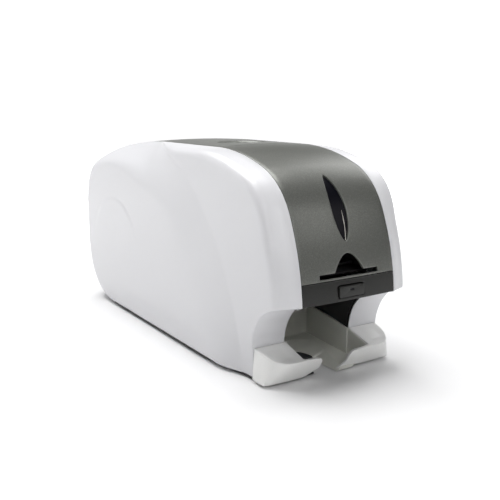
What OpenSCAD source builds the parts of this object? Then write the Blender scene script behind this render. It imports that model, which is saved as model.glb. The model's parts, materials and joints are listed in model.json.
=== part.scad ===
// Desktop card printer: curved grey centre strip with a front hopper door and a top lid,
// white fender-like side covers, and an open output bay with two tray feet.
// X runs across the printer, Y from the front (negative) to the rear, Z up from the table.

/* [Body] */
// Overall length, front of the button to the rear face
body_l = 432; // [424:1:440]
// Overall width across the rear fenders
body_w = 174; // [170:1:180]
// Height of the strip at its side edges
body_h = 205.7; // [203:0.1:208]
// How far the strip stands up in the middle
crown = 1.8; // [0:0.1:3]
// Width of the grey centre strip
strip_w = 104.6; // [100:0.2:108]
// Wall thickness of the plastic shells
wall = 2.4; // [2:0.1:3]
// Gap between neighbouring shells
seam = 0.4; // [0.3:0.05:0.6]
// Underside of the side covers above the table
base_z = 3; // [3:0.1:3.5]

/* [Side Covers] */
// Half width of the covers at the recessed front
recess_x = 79; // [77:0.5:81]
// Edge rounding along the front and top
edge_r = 7; // [5:0.5:9]
// Width of the sloping shoulder at the rear top
shoulder_w = 18; // [14:1:20]
// Height of the round arch over the output bay
arch_r = 46.5; // [44:0.5:47]

/* [Front] */
// Height of the seam between bezel and hopper door
bezel_top = 96.4; // [95:0.1:97]
// Lower edge of the front bezel
bezel_bottom = 77.5; // [76:0.5:79]
// Half width of the card slot
slot_x = 33; // [31:0.5:34]
// Height of the finger notch above the slot
notch_h = 15.6; // [12:0.2:17]
// Half height of the card level window
window_h = 27.2; // [22:0.2:29]
// Half width of the card level window
window_x = 8; // [5:0.2:8.6]
// Width of the function button
button_w = 28; // [24:0.5:30]
// Height of the function button
button_h = 10.2; // [9:0.1:11]

/* [Cards] */
// Card width, across the printer
card_w = 54; // [53.98:0.01:54]
// Height of the card path above the table
card_z = 99.8; // [99.8:0.1:100]

/* [Transport] */
// Radius of the driven rollers
drive_r = 7; // [7:0.1:7.1]
// Radius of the driven shafts
shaft_r = 3; // [2.9:0.1:3]
// Radial running clearance of the shafts
run_gap = 0.05; // [0.03:0.01:0.08]

/* [Hidden] */
$fn = 48;
front_y = -body_l / 2;
rear_y = body_l / 2;
strip_x = strip_w / 2 - seam / 2;
fender_x = body_w / 2;

// Side outline: flat top, three arcs down the front, two arcs to the rear face, one under it.
top_y = -73.5;
top_arc_r = 232;
top_arc_a = 20;
corner_r = 72.5;
corner_a = 65.5;
front_arc_r = 224;
rear_flat_y = 30;
back_slope_r = 700;
back_r = 75;
back_a = asin((rear_y - back_r - rear_flat_y) / (back_slope_r - back_r));
heel_r = 72;

function fdir(a) = [-sin(a), cos(a)];
function rdir(a) = [sin(a), cos(a)];
top_c = [top_y, body_h - top_arc_r];
corner_c = top_c + fdir(top_arc_a) * (top_arc_r - corner_r);
front_c = corner_c + fdir(corner_a) * (corner_r - front_arc_r);
slope_c = [rear_flat_y, body_h - back_slope_r];
back_c = [rear_y - back_r, (slope_c + rdir(back_a) * (back_slope_r - back_r))[1]];
heel_c = [rear_y - heel_r, base_z + heel_r];

// A point on the front curve at angle a from the top, moved inwards by d.
function front_pt(a, d = 0) =
    a <= top_arc_a ? top_c + fdir(a) * (top_arc_r - d)
    : a <= corner_a ? corner_c + fdir(a) * (corner_r - d)
    : front_c + fdir(a) * (front_arc_r - d);
// The angle at which the front curve has height z.
function front_a(z) = acos((z - front_c[1]) / front_arc_r);
function top_a(y) = asin((top_y - y) / top_arc_r);
// A point on the rear slope at angle a, moved inwards by d.
function slope_pt(a, d = 0) = slope_c + rdir(a) * (back_slope_r - d);
function back_pt(a, d = 0) = back_c + rdir(a) * (back_r - d);
function heel_pt(a, d = 0) = heel_c + rdir(a) * (heel_r - d);
function slope_a(y) = asin((y - rear_flat_y) / back_slope_r);
function steps(a, b, n) = [for (i = [0:n]) a + (b - a) * i / n];

bottom_a = front_a(bezel_bottom);
bezel_a = front_a(bezel_top);
lid_front_y = -80;
lid_a = top_a(lid_front_y);

// Hinges
door_pin = [-205.2, 99];
door_knuckle_r = 2.9;
bezel_rear_y = -198.7;
lid_axis_y = 149.2;
lid_rear_y = 156;
rear_cover_y = 158.5;
lid_barrel_r = 3.6;
lid_pin = slope_pt(slope_a(lid_axis_y), wall + lid_barrel_r + 0.2);
pin_r = 1.5;

// Arch over the output bay
arch_y = -168;
arch_z = 31;
arch_a = arch_y + 214;
bay_x = 38;

// Transport: all driven shafts lie at one height
axis_z = card_z - drive_r;
feed_y = -92;
platen_y = -20;
move_y = 60;
pickup_y = -135;
pickup_r = 8;
frame_x = 42;
frame_t = 2;
cleaner_r = 7;
pinch_r = 5;
pinch_gap = 1.1;
thin_shaft_r = 2;
cleaner_z = card_z + pinch_gap + cleaner_r;
pinch_z = card_z + pinch_gap + pinch_r;
bush_r = 5;
pulley_r = 6;
belt_gap = 0.3;
belt_t = 1.2;
belt_x = 49.5;
belt_w = 4;
gear_x = 56;
gear_w = 4;
gear_m = 1;
gear_teeth = 36;
pinion_teeth = 12;
motor_z = axis_z - gear_m * (gear_teeth + pinion_teeth) / 2 - 0.2;
ribbon_m = 0.8;
takeup = [-62, 140];
supply = [32, 136];
ribbon_motor_y = takeup[0] + ribbon_m * (gear_teeth + pinion_teeth) / 2 + 0.2;
ribbon_gear_x = 48;

// Card hopper
bin_x = card_w / 2 + 1;
bin_front_y = -200;
bin_rear_y = -112;
weight_z = card_z + 1;

// Button in the bezel and the release button in the lid
button_z = 86;
button_face = front_y;
button_gap = 0.55;
release_y = -52;
release_r = 8;
latch_axis = [-62, 190];

// Fan on the right frame
fan_y = 120;
fan_z = 118;
fan_s = 40;

// Rear recess for the sockets
recess_wall_y = 186;
recess_half_x = 42;
recess_z = [22, 78];

// ---------------------------------------------------------------- shared shapes

// Closed shell over a list of [point, outward normal] pairs in the YZ plane, crowned across X.
module crowned_skin(rows, half, rise, t, outer = 0, nx = 10) {
    n = len(rows);
    xs = steps(-half, half, nx);
    m = nx + 1;
    function lift(x) = rise * (1 - pow(x / (strip_w / 2), 2)) - outer;
    pts = concat(
        [for (r = rows) for (x = xs) let (q = r[0] + r[1] * lift(x)) [x, q[0], q[1]]],
        [for (r = rows) for (x = xs) let (q = r[0] + r[1] * (lift(x) - t)) [x, q[0], q[1]]]);
    k = n * m;
    function quad(a, b, c, d) = [[a, b, c], [a, c, d]];
    faces = concat(
        [for (i = [0:n - 2]) for (j = [0:nx - 1]) for (f = quad(i * m + j, i * m + j + 1,
            (i + 1) * m + j + 1, (i + 1) * m + j)) f],
        [for (i = [0:n - 2]) for (j = [0:nx - 1]) for (f = quad(k + i * m + j, k + (i + 1) * m + j,
            k + (i + 1) * m + j + 1, k + i * m + j + 1)) f],
        [for (i = [0:n - 2]) for (f = quad(i * m, (i + 1) * m, k + (i + 1) * m, k + i * m)) f],
        [for (i = [0:n - 2]) for (f = quad(i * m + nx, k + i * m + nx, k + (i + 1) * m + nx,
            (i + 1) * m + nx)) f],
        [for (j = [0:nx - 1]) for (f = quad(j, k + j, k + j + 1, j + 1)) f],
        [for (j = [0:nx - 1]) for (f = quad((n - 1) * m + j, (n - 1) * m + j + 1,
            k + (n - 1) * m + j + 1, k + (n - 1) * m + j)) f]);
    polyhedron(pts, faces);
}

function front_rows(a0, a1, n) = [for (a = steps(a0, a1, n)) [front_pt(a), fdir(a)]];
function slope_rows(a0, a1, n) = [for (a = steps(a0, a1, n)) [slope_pt(a), rdir(a)]];
function back_rows(a0, a1, n) = [for (a = steps(a0, a1, n)) [back_pt(a), rdir(a)]];

// A YZ outline extruded across X, from x0 to x1.
module across(x0, x1) {
    translate([x0, 0, 0]) rotate([90, 0, 90]) linear_extrude(x1 - x0) children();
}

// Round bar along X at [y, z].
module bar(yz, r, x0, x1) {
    translate([x0, yz[0], yz[1]]) rotate([0, 90, 0]) cylinder(r = r, h = x1 - x0);
}

module box(x, y, z) {
    translate([x[0], y[0], z[0]]) cube([x[1] - x[0], y[1] - y[0], z[1] - z[0]]);
}

module mirrored() {
    children();
    mirror([1, 0, 0]) children();
}

// Spur gear outline with straight-sided teeth, a gap centred on angle 0 when gap is true.
module gear_outline(teeth, m, gap = false) {
    r = m * teeth / 2;
    pitch = 360 / teeth;
    turn = gap ? pitch / 2 : 0;
    circle(r = r - 1.1 * m, $fn = 4 * teeth);
    for (i = [0:teeth - 1]) rotate(turn + i * pitch)
        polygon([[r - 1.3 * m, -0.62 * m], [r + 0.75 * m, -0.26 * m],
            [r + 0.75 * m, 0.26 * m], [r - 1.3 * m, 0.62 * m]]);
}

// Helical spring standing on z = 0.
module coil(r, wire, turns, h, sides = 6, per_turn = 14) {
    n = turns * per_turn;
    pts = [for (i = [0:n]) let (a = 360 * i / per_turn, z = wire + (h - 2 * wire) * i / n)
        for (s = [0:sides - 1]) let (b = 360 * s / sides, q = r + wire * cos(b))
        [q * cos(a), q * sin(a), z + wire * sin(b)]];
    sides_faces = [for (i = [0:n - 1]) for (s = [0:sides - 1]) let (a = i * sides + s,
        b = i * sides + (s + 1) % sides) [b, a, a + sides, b + sides]];
    faces = concat([[for (s = [0:sides - 1]) s]], sides_faces,
        [[for (s = [0:sides - 1]) (n + 1) * sides - 1 - s]]);
    polyhedron(pts, faces);
}

// ---------------------------------------------------------------- side covers

arch_steps = 9;
front_n = 24;
return_x = 68.5;
// How far the covers' front return slopes back at angle a of the front curve.
function return_back(a) = 1.5 + 5.5 * smooth((a - 15) / 50);
// Closed side outline, clockwise from the top of the front curve: a point, its rounding, the
// slope of its return, and whether it belongs to the front, the rear or the lower edge.
function side_outline(d) = concat(
    [for (a = steps(0, bottom_a - 0.2, front_n)) [front_pt(a, d), edge_r, return_back(a), 0]],
    [for (b = steps(77, 4, arch_steps)) [[arch_y - arch_a + (arch_a + d) * cos(b),
        arch_z + (arch_r + d) * sin(b)], 1.5, 0, 2]],
    [for (z = [arch_z - 1, arch_z / 2, base_z + d]) [[arch_y + d, z], 1.5, 0, 2]],
    [for (y = steps(-158, heel_c[0] - 14, 12)) [[y, base_z + d], 4, 0, 2]],
    [for (a = steps(180, 96, 9)) [heel_pt(a, d), 4 + 10 * (180 - a) / 90, 0, 1]],
    [[[rear_y - d, heel_c[1]], 14, 0, 1], [[rear_y - d, back_c[1]], 14, 0, 1]],
    [for (a = steps(80, back_a, 10)) [back_pt(a, d), 14, 0, 1]],
    [for (y = steps(140, rear_flat_y + 6, 7)) [slope_pt(slope_a(y), d), 14, 0, 1]],
    [for (y = steps(24, top_y + 8, 8)) [[y, body_h - d], edge_r, 1.5, 0]]);

function smooth(t) = let (u = max(0, min(1, t))) u * u * (3 - 2 * u);
bulge_c = [60, 0];
bulge_out = 212;
// Width of the band that slopes from the fender's face out to its edge, by angle about bulge_c.
function band_w(a, z) = a < 45 ? 5 + 9 * smooth((z - base_z) / 60)
    : lookup(a, [[45, 14], [53, 14], [60, shoulder_w], [70, shoulder_w], [85, 27], [98, 37],
        [110, 41], [120, 42], [130, 49], [141, 57], [158, 50], [174, 34]]);
// Half width of the recessed front face and of the raised fender.
function front_x(y, z) = recess_x - 4.5 * pow(max(0, (-100 - y) / 114), 2)
    - 6 * pow(max(0, (90 - z) / 87), 1.5) * smooth((-60 - y) / 100);
function fender_face(z) = fender_x - 3 * pow(max(0, (60 - z) / 57), 2);
function round_up(t) = sqrt(1 - pow(1 - max(0, min(1, t)), 2));
function ramp(t) = let (h = max(0, min(1, 0.5 + (1 - t) / 0.6))) 1 + (t - 1) * h - 0.3 * h * (1 - h);

// Half width of the cover at q, which lies d inside the edge e of the outline.
function face_x(q, d, e) =
    let (front = front_x(q[0], q[1]), fender = fender_face(q[1]),
        a = atan2(q[1], q[0] - bulge_c[0]), reach = norm(q - bulge_c), w = band_w(a, q[1]),
        deep = max(0, d - e[2]),
        bead = e[3] == 0 && deep < e[1] + 1
            ? front - (front - return_x) * (1 - round_up(deep / (e[1] + 1))) : front,
        top = 72 - 16 * smooth((q[0] + 40) / 100),
        rear = fender - w + (56 - fender + w) * smooth((a - 46) / 14),
        start = a < 60 ? rear : a > 125 ? front : top + (front - top) * smooth((a - 103) / 22),
        t = min(a < 90 ? 9 : (bulge_out - reach) / w, e[3] == 2 ? 9 : d / w),
        slope = t < 0 ? 0 : min(1, ramp(t)),
        g = slope + (round_up(t) - slope) * smooth((68 - a) / 16),
        m = a < 90 ? 1 : smooth((bulge_out + 3 - reach) / 6),
        x = bead + (start + (fender - start) * g - bead) * m)
    e[3] == 2 && d < e[1] ? x - e[1] * (1 - round_up(d / e[1])) : x;

// One ring of points: j runs from the inner rim over the rounded edge and into the middle.
cover_mid = [10, 95];
edge_rings = 5;
face_rings = steps(0.03, 0.91, 15);
function ring(j, inset, rim) =
    let (base = side_outline(inset), n = len(base), first_arch = front_n + 1)
    [for (i = [0:n - 1])
        let (e = base[i], p = e[0], prev = base[(i + n - 1) % n][0],
            next = base[i == front_n ? i : (i + 1) % n][0], dirv = next - prev, inward = [-dirv[1], dirv[0]] / norm(dirv),
            k = i - first_arch, in_arch = k >= 0 && k < arch_steps + 4,
            rim_x = in_arch ? bay_x + 0.5 + (rim - bay_x - 0.5) * max(0, min(1, (4.6 - k) / 3.6)) : rim,
            b = min(90, max(0, (j - 1) * 90 / edge_rings)),
            d = e[2] + e[1] * (1 - cos(b)),
            q = p + inward * d)
        j == 0 ? [rim_x, p[0], p[1]]
        : j <= edge_rings + 1 ? [max(rim_x + 0.6, face_x(q, d, e) - inset), q[0], q[1]]
        : let (t = face_rings[j - edge_rings - 2], g = q + (cover_mid - q) * t)
            [face_x(g, (g - p) * inward, e) - inset, g[0], g[1]]];

module cover_shell() {
    n = len(side_outline(0));
    rings = edge_rings + 2 + len(face_rings);
    rim = strip_w / 2 + seam / 2;
    outer = [for (j = [0:rings - 1]) for (p = ring(j, 0, rim)) p];
    inner = [for (j = [0:rings - 1]) for (p = ring(j, wall, rim)) p];
    mid = fender_face(cover_mid[1]);
    k = rings * n;
    pts = concat(outer, inner, [[mid, cover_mid[0], cover_mid[1]],
        [mid - wall, cover_mid[0], cover_mid[1]]]);
    faces = concat(
        [for (j = [0:rings - 2]) for (i = [0:n - 1]) let (a = j * n + i, b = j * n + (i + 1) % n)
            each [[a, a + n, b + n], [a, b + n, b]]],
        [for (j = [0:rings - 2]) for (i = [0:n - 1]) let (a = k + j * n + i,
            b = k + j * n + (i + 1) % n) each [[a, b + n, a + n], [a, b, b + n]]],
        [for (i = [0:n - 1]) let (a = (rings - 1) * n + i, b = (rings - 1) * n + (i + 1) % n)
            [a, 2 * k, b]],
        [for (i = [0:n - 1]) let (a = k + (rings - 1) * n + i, b = k + (rings - 1) * n + (i + 1) % n)
            [a, b, 2 * k + 1]],
        [for (i = [0:n - 1]) let (a = i, b = (i + 1) % n) each [[a, b, k + b], [a, k + b, k + a]]]);
    polyhedron(pts, faces);
}

module right_cover() {
    color("white") cover_shell();
}

module left_cover() {
    color("white") mirror([1, 0, 0]) cover_shell();
}

// ---------------------------------------------------------------- base, feet and output bay

module base_plate() {
    color("#2c2c2e") difference() {
        translate([0, 0, foot_h]) linear_extrude(base_z - foot_h) polygon([[-66, -184], [66, -184],
            [70, -160], [80, -90], [80, 142], [52, 143], [51, 147], [-51, 147], [-52, 143], [-80, 142],
            [-80, -90], [-70, -160]]);
        linear_extrude(base_z + 1) polygon([[-16, -185], [16, -185], [13, -150], [-13, -150]]);
        for (p = foot_places) translate([p[0], p[1], 0]) cylinder(r = 6, h = foot_h + 0.7);
    }
}

foot_h = 1.5;
foot_places = [[-62, 118], [62, 118], [-58, -150], [58, -150]];
module rubber_feet() {
    color("#1a1a1a") for (p = foot_places) translate([p[0], p[1], 0]) {
        cylinder(r = 9, h = foot_h);
        cylinder(r = 5.9, h = foot_h + 0.6);
    }
}

// Outer form of the right foot between two heights, as a slab of given thickness.
module foot_slab(z, outline, t = 0.4) {
    translate([0, 0, z]) linear_extrude(t) polygon(outline);
}

module tray_foot() {
    low = base_z;
    difference() {
        union() {
            hull() {
                foot_slab(low, [[bay_x, -168.4], [72, -168.4], [71.5, -177], [66, -186], [60, -187.5],
                    [bay_x, -187.5]]);
                foot_slab(24, [[bay_x, -168.4], [72, -168.4], [71.8, -184], [67, -196.5], [60, -200],
                    [bay_x, -200]]);
                foot_slab(32.4, [[bay_x, -168.4], [71.8, -168.4], [71.6, -170], [bay_x, -170]]);
            }
            hull() {
                foot_slab(low, [[22, -187.5], [bay_x, -187.5], [bay_x, -184.7], [22, -184.7]]);
                foot_slab(22, [[21, -199.4], [bay_x, -199.4], [bay_x, -196.6], [21, -196.6]]);
                foot_slab(17, [[17, -196.4], [21, -196.4], [21, -193.6], [17, -193.6]]);
            }
        }
        hull() {
            foot_slab(low - 1, [[bay_x + 2.4, -171], [69.4, -171], [68.6, -178], [64, -184],
                [bay_x + 2.4, -184.5]]);
            foot_slab(20, [[bay_x + 2.4, -171], [69.4, -171], [68.8, -184], [64, -194],
                [bay_x + 2.4, -195]]);
            foot_slab(28.6, [[bay_x + 2.4, -171], [69.2, -171], [69.2, -172.5], [bay_x + 2.4, -172.5]]);
        }
    }
}

module right_tray_foot() {
    color("#f2f2ee") tray_foot();
}

module left_tray_foot() {
    color("#f2f2ee") mirror([1, 0, 0]) tray_foot();
}

tray_wall_x = bay_x - 0.3;
tray_t = 2;
tray_front_t = 0.8;
// Floor sloping down to the front, with a finger scoop, and two side walls that rise to the rear.
module output_tray() {
    color("#6b6b68") {
        difference() {
            union() {
                across(-tray_wall_x, tray_wall_x)
                    polygon([[-184, 5], [-104, 10.3], [-104, 7.8], [-116, base_z], [-184, base_z]]);
                across(4, 12.5) polygon([[-189.5, base_z], [-189.5, 4.6], [-184, 5], [-184, base_z]]);
            }
            hull() {
                for (x = [-13, 13]) translate([x, -124, base_z - 0.4]) cylinder(r1 = 7, r2 = 17, h = 9);
                translate([-18, -190, base_z - 0.4]) cylinder(r1 = 9, r2 = 22, h = 9);
                translate([3, -190, base_z - 0.4]) cylinder(r1 = 3.8, r2 = 20, h = 9);
            }
        }
        mirrored() {
            across(tray_wall_x - tray_t, tray_wall_x)
                polygon([[-168.6, 5.9], [-168.6, 31.9], [-104, 42], [-104, 10.2]]);
            across(tray_wall_x - tray_front_t, tray_wall_x)
                polygon([[-184, 4.9], [-195, 23], [-168.5, 31.9], [-168.5, 5.9]]);
        }
        box([-tray_wall_x, tray_wall_x], [-104, -102], [7.8, 42]);
    }
}

// Dark liner: side walls that follow the arch, a rear wall and the ceiling over the bay.
module bay_liner() {
    arch = [for (b = steps(4, 66, 8)) [arch_y - arch_a + (arch_a + 3) * cos(b),
        arch_z + (arch_r + 3) * sin(b)]];
    color("#161616") {
        mirrored() across(bay_x + 0.2, bay_x + 2)
            polygon(concat([[-100, 12], [-164, 12]], arch, [[-194, 81], [-100, 81]]));
        box([-bay_x - 2, bay_x + 2], [-196, -102], [81, 83]);
        difference() {
            box([-bay_x - 2, bay_x + 2], [-102, -100], [12, 83]);
            box([-29, 29], [-103, -99], [66, 76]);
        }
    }
}

// ---------------------------------------------------------------- front bezel and its button

// Radius swept by the lower edge of the door at x, so the bezel keeps clear of it.
function door_sweep(x) = norm(front_pt(front_a(bezel_top + 0.3)) - door_pin
    + crown * (1 - pow(x / (strip_w / 2), 2)) * [-0.98, 0.16]) + 0.3;

module front_bezel() {
    bars = 16;
    color("#4a4a48") {
        difference() {
            crowned_skin(front_rows(bezel_a, bottom_a, 5), strip_x, crown, wall);
            box([-button_w / 2 - button_gap, button_w / 2 + button_gap], [front_y - 1, front_y + 8],
                [button_z - button_h / 2 - button_gap, button_z + button_h / 2 + button_gap]);
            for (i = [0:bars - 1]) let (x0 = strip_w * (i / bars - 0.5), x1 = x0 + strip_w / bars)
                bar(door_pin, door_sweep((x0 + x1) / 2), x0, x1 + 0.01);
        }
        box([-strip_x, strip_x], [-211.2, bezel_rear_y], [bezel_bottom, bezel_bottom + 2]);
        mirrored() {
            box([strip_x - 1.6, strip_x], [-210.6, bezel_rear_y], [bezel_bottom, 90]);
            difference() {
                union() {
                    bar(door_pin, door_knuckle_r, 44.4, strip_x);
                    across(44.4, strip_x) polygon([door_pin + [1.2, 2.6], [bezel_rear_y, door_pin[1]],
                        [bezel_rear_y, bezel_bottom], [bezel_rear_y - 3.6, bezel_bottom],
                        door_pin + [1.6, -2.4]]);
                }
                bar(door_pin, pin_r, 40, 60);
            }
        }
    }
}

module rounded_plate(w, h, r) {
    difference() {
        square([w, h], center = true);
        for (sx = [-1, 1]) for (sz = [-1, 1]) translate([sx * (w / 2 - r), sz * (h / 2 - r)])
            difference() {
                translate([sx * r / 2, sz * r / 2]) square([r + 0.02, r + 0.02], center = true);
                circle(r = r);
            }
    }
}

led_w = 4.4;
led_h = 1.4;
led_z = button_z + 1.6;
module function_button() {
    color("#4f4f4d") difference() {
        union() {
            translate([0, button_face, button_z]) rotate([-90, 0, 0]) linear_extrude(6)
                rounded_plate(button_w, button_h, 1.6);
            translate([0, button_face + 6, button_z]) rotate([-90, 0, 0]) cylinder(r = 1.6, h = 2.4);
        }
        box([-led_w / 2 - 0.05, led_w / 2 + 0.05], [front_y - 1, front_y + 7],
            [led_z - led_h / 2 - 0.05, led_z + led_h / 2 + 0.05]);
    }
}

module light_pipe() {
    color("#20262c") box([-led_w / 2, led_w / 2], [button_face + 0.3, button_face + 6],
        [led_z - led_h / 2, led_z + led_h / 2]);
}

module button_spring() {
    color("silver") translate([0, button_face + 7.2, button_z]) rotate([-90, 0, 0])
        coil(2.8, 0.25, 3, 2.7);
}

module button_board() {
    color("#1e5a38") difference() {
        box([-24, 24], [button_face + 10, button_face + 11.6], [79.7, 89.6]);
        translate([0, button_face + 9, button_z]) rotate([-90, 0, 0]) cylinder(r = 2.1, h = 4);
    }
}

// ---------------------------------------------------------------- hopper door

slot_z = [98.7, 102.7];
notch_x = 16.3;
function notch_outline() = concat([[-slot_x, slot_z[0]], [-slot_x, slot_z[1]], [-notch_x, slot_z[1]]],
    [for (x = steps(-15, 15, 12)) [x, slot_z[1] + notch_h * (1 - pow(x / notch_x, 2))]],
    [[notch_x, slot_z[1]], [slot_x, slot_z[1]], [slot_x, slot_z[0]]]);

window_z = 155.4;
// Pointed oval made of two arcs, in the XZ plane.
module eye(half_h, half_w) {
    r = (half_h * half_h + half_w * half_w) / (2 * half_w);
    intersection() {
        translate([r - half_w, 0]) circle(r = r, $fn = 160);
        translate([half_w - r, 0]) circle(r = r, $fn = 160);
    }
}

module through_front(y0, y1) {
    translate([0, y1, 0]) rotate([90, 0, 0]) linear_extrude(y1 - y0) children();
}

module door_panel() {
    color("#5a5a57") difference() {
        crowned_skin(front_rows(lid_a, front_a(bezel_top + 0.3), 26), strip_x, crown, wall);
        through_front(-230, -190) polygon(notch_outline());
        through_front(-230, -140) translate([0, window_z]) eye(window_h, window_x);
    }
}

module window_lens() {
    color("#0c0c0d") intersection() {
        crowned_skin(front_rows(34, 77, 12), 12, crown, 1, 1.4, 6);
        through_front(-230, -140) translate([0, window_z]) eye(window_h - 0.3, window_x - 0.08);
    }
}

// Ribs under the door skin, cross bars, and the two hinge knuckles.
module door_frame() {
    color("#3c3c3b") {
        mirrored() {
            across(45.6, 47.6) polygon(concat(
                [for (a = steps(6, 77, 16)) front_pt(a, wall)],
                [for (a = steps(77, 6, 16)) front_pt(a, wall + 5)]));
            difference() {
                union() {
                    bar(door_pin, door_knuckle_r, 38.4, 44);
                    across(38.4, 44) polygon([door_pin + [-2.6, 1], front_pt(77, wall), front_pt(74, wall),
                        front_pt(74, wall + 5), door_pin + [2.7, 0.6]]);
                    across(38.4, 47.6) polygon([front_pt(76.5, wall), front_pt(74, wall),
                        front_pt(74, wall + 5), front_pt(76.5, wall + 5)]);
                }
                bar(door_pin, pin_r + run_gap, 36, 46);
            }
        }
        for (a = [8, 30]) across(-45.6, 45.6) polygon([front_pt(a, wall), front_pt(a + 1.6, wall),
            front_pt(a + 1.6, wall + 5), front_pt(a, wall + 5)]);
    }
}

module hinge_pins() {
    color("silver") mirrored() {
        bar(door_pin, pin_r, 38, strip_x);
        bar(lid_pin, pin_r, 30, strip_x);
    }
}

// ---------------------------------------------------------------- lid

dish_y = -35;
dish_z = body_h + crown - 1.2;
module top_lid() {
    flat = [for (y = steps(top_y + 6, rear_flat_y - 6, 5)) [[y, body_h], [0, 1]]];
    rows = concat(slope_rows(slope_a(lid_rear_y), 0, 6), [for (i = [5:-1:0]) flat[i]],
        front_rows(0, lid_a - 0.1, 1));
    color("#5a5a57") difference() {
        crowned_skin(rows, strip_x, crown, wall);
        translate([0, dish_y, dish_z]) scale([30, 23, 1]) cylinder(r = 1, h = 9);
        translate([0, release_y, 180]) cylinder(r = release_r + 0.4, h = 40);
    }
}

rib_in = 45.6;
rib_out = 47.8;
head_y = [-31, -9];
module lid_frame() {
    top = body_h - wall;
    color("#3c3c3b") {
        mirrored() {
            across(rib_in, rib_out) polygon([[-70, top], [rear_flat_y, top], [100, top - 3.6],
                [140, top - 8.8], [140, 186.5], [-70, 188]]);
            across(30, rib_out) polygon([[118, top - 5.8], [137, top - 8.4], [137, 186.5], [118, 186.5]]);
            across(30, 44) polygon([[136, top - 8.4], lid_pin + [-1, 2.4], lid_pin + [-3.5, -1],
                [136, 186.5]]);
            difference() {
                bar(lid_pin, lid_barrel_r, 30, 44);
                bar(lid_pin, pin_r + run_gap, 28, 46);
            }
        }
        box([-rib_in, rib_in], [-70, -67.5], [188, top]);
        box([-rib_in, rib_in], [head_y[0], head_y[1]], [188, 190.5]);
        mirrored() difference() {
            box([20, 26], [head_y[0] + 4, head_y[1] - 4], [142, 188]);
            translate([23, platen_y, 141]) cylinder(r = 1.65, h = 8);
        }
        mirrored() box([13, 15], [-66, -57], [186, top]);
        bar(latch_axis, pin_r, -15, 15);
        difference() {
            box([-15, 15], [-67.5, release_y + 11], [194, 196]);
            translate([0, release_y, 190]) cylinder(r = 3.1, h = 12);
        }
    }
}

release_top = dish_z - 0.2;
module release_button() {
    color("#3a3a39") translate([0, release_y, 0]) {
        translate([0, 0, 201.6]) cylinder(r = release_r, h = release_top - 201.6);
        translate([0, 0, 191.7]) cylinder(r = 3, h = 10.2);
    }
}

module release_spring() {
    color("silver") translate([0, release_y, 196]) coil(4.6, 0.3, 3, 3.9);
}

module lid_latch() {
    color("#2f2f2f") difference() {
        union() {
            bar(latch_axis, 3.4, -12.6, 12.6);
            box([-12.6, 12.6], [-60, release_y - 1], [189.4, 190.2]);
            box([-12.6, 12.6], [release_y - 1, release_y + 5], [189.4, 191.5]);
            box([-12.6, 12.6], [-63.4, -61], [172, 190]);
            box([-12.6, 12.6], [-61, -59.6], [172, 174.5]);
        }
        bar(latch_axis, pin_r + run_gap, -16, 16);
    }
}

module print_head() {
    color("#c9b27a") {
        box([-29, 29], [head_y[0] + 1, head_y[1] - 1], [104, 106]);
        box([-28.5, 28.5], [platen_y - 2.5, platen_y + 2.5], [101.6, 104]);
        mirrored() box([18, 22], [platen_y - 6, platen_y - 2], [106, 109]);
    }
}

module heat_sink() {
    color("silver") {
        box([-28, 28], [head_y[0] + 1, head_y[1] - 1], [109, 112]);
        for (i = [0:6]) box([-17 + i * 5, -15 + i * 5], [head_y[0] + 1, head_y[1] - 1], [112, 124]);
        mirrored() translate([23, platen_y, 112]) cylinder(r = 1.6, h = 34);
    }
}

module head_springs() {
    color("silver") mirrored() translate([23, platen_y, 113.2]) coil(2.6, 0.35, 8, 28.6);
}

// ---------------------------------------------------------------- rear covers and sockets

cover_end_a = 42;
module rear_top_cover() {
    rows = back_rows(cover_end_a, asin((rear_cover_y - back_c[0]) / back_r), 9);
    color("#5a5a57") {
        crowned_skin(rows, strip_x, crown, wall);
        mirrored() difference() {
            union() {
                bar(lid_pin, lid_barrel_r - 0.4, 44.4, strip_x);
                across(44.4, strip_x) polygon([lid_pin + [-2.6, 0], lid_pin + [-2.6, -13],
                    lid_pin + [13, -13], lid_pin + [20, -6], back_pt(16, 1.2),
                    back_pt(15.2, 1.2), lid_pin + [9.4, -7], lid_pin + [7, -9.4],
                    lid_pin + [2.6, -9.4], lid_pin + [2.6, 0]]);
            }
            bar(lid_pin, pin_r, 40, 60);
        }
    }
}

function rear_strip(d) = concat([for (a = steps(cover_end_a + 0.5, 90, 8)) back_pt(a, d)],
    [for (a = steps(90, 178, 12)) heel_pt(a, d)]);
module rear_panel() {
    outer = rear_strip(0);
    inner = rear_strip(wall);
    deep = recess_wall_y - 2;
    color("#4a4a48") difference() {
        union() {
            across(-strip_x, strip_x)
                polygon(concat(outer, [for (i = [len(inner) - 1:-1:0]) inner[i]]));
            intersection() {
                box([-recess_half_x - 2, recess_half_x + 2], [deep, rear_y + 5],
                    [recess_z[0] - 2, recess_z[1] + 2]);
                across(-strip_x, strip_x) polygon(concat(outer, [[deep - 30, 2], [deep - 30, 170]]));
            }
        }
        box([-recess_half_x, recess_half_x], [recess_wall_y, rear_y + 5], recess_z);
        for (i = [0:5]) box([-30, 30], [rear_y - 10, rear_y + 5], [98 + i * 6, 101 + i * 6]);
        box([-37.2, -22.8], [180, 190], [25.8, 38.2]);
        box([-14.2, -1.8], [180, 190], [25.8, 37.2]);
        box([7.8, 24.2], [180, 190], [25.8, 40.2]);
        box([-36.2, -15.8], [180, 190], [53.8, 66.2]);
        box([24, 31], [180, 190], [58, 61]);
    }
}

// Round direct-current inlet in a square housing.
module power_inlet() {
    color("#111111") difference() {
        box([-37, -23], [172, 189], [26, 38]);
        translate([-30, 178, 32]) rotate([-90, 0, 0]) cylinder(r = 3.2, h = 20);
    }
}

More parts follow.
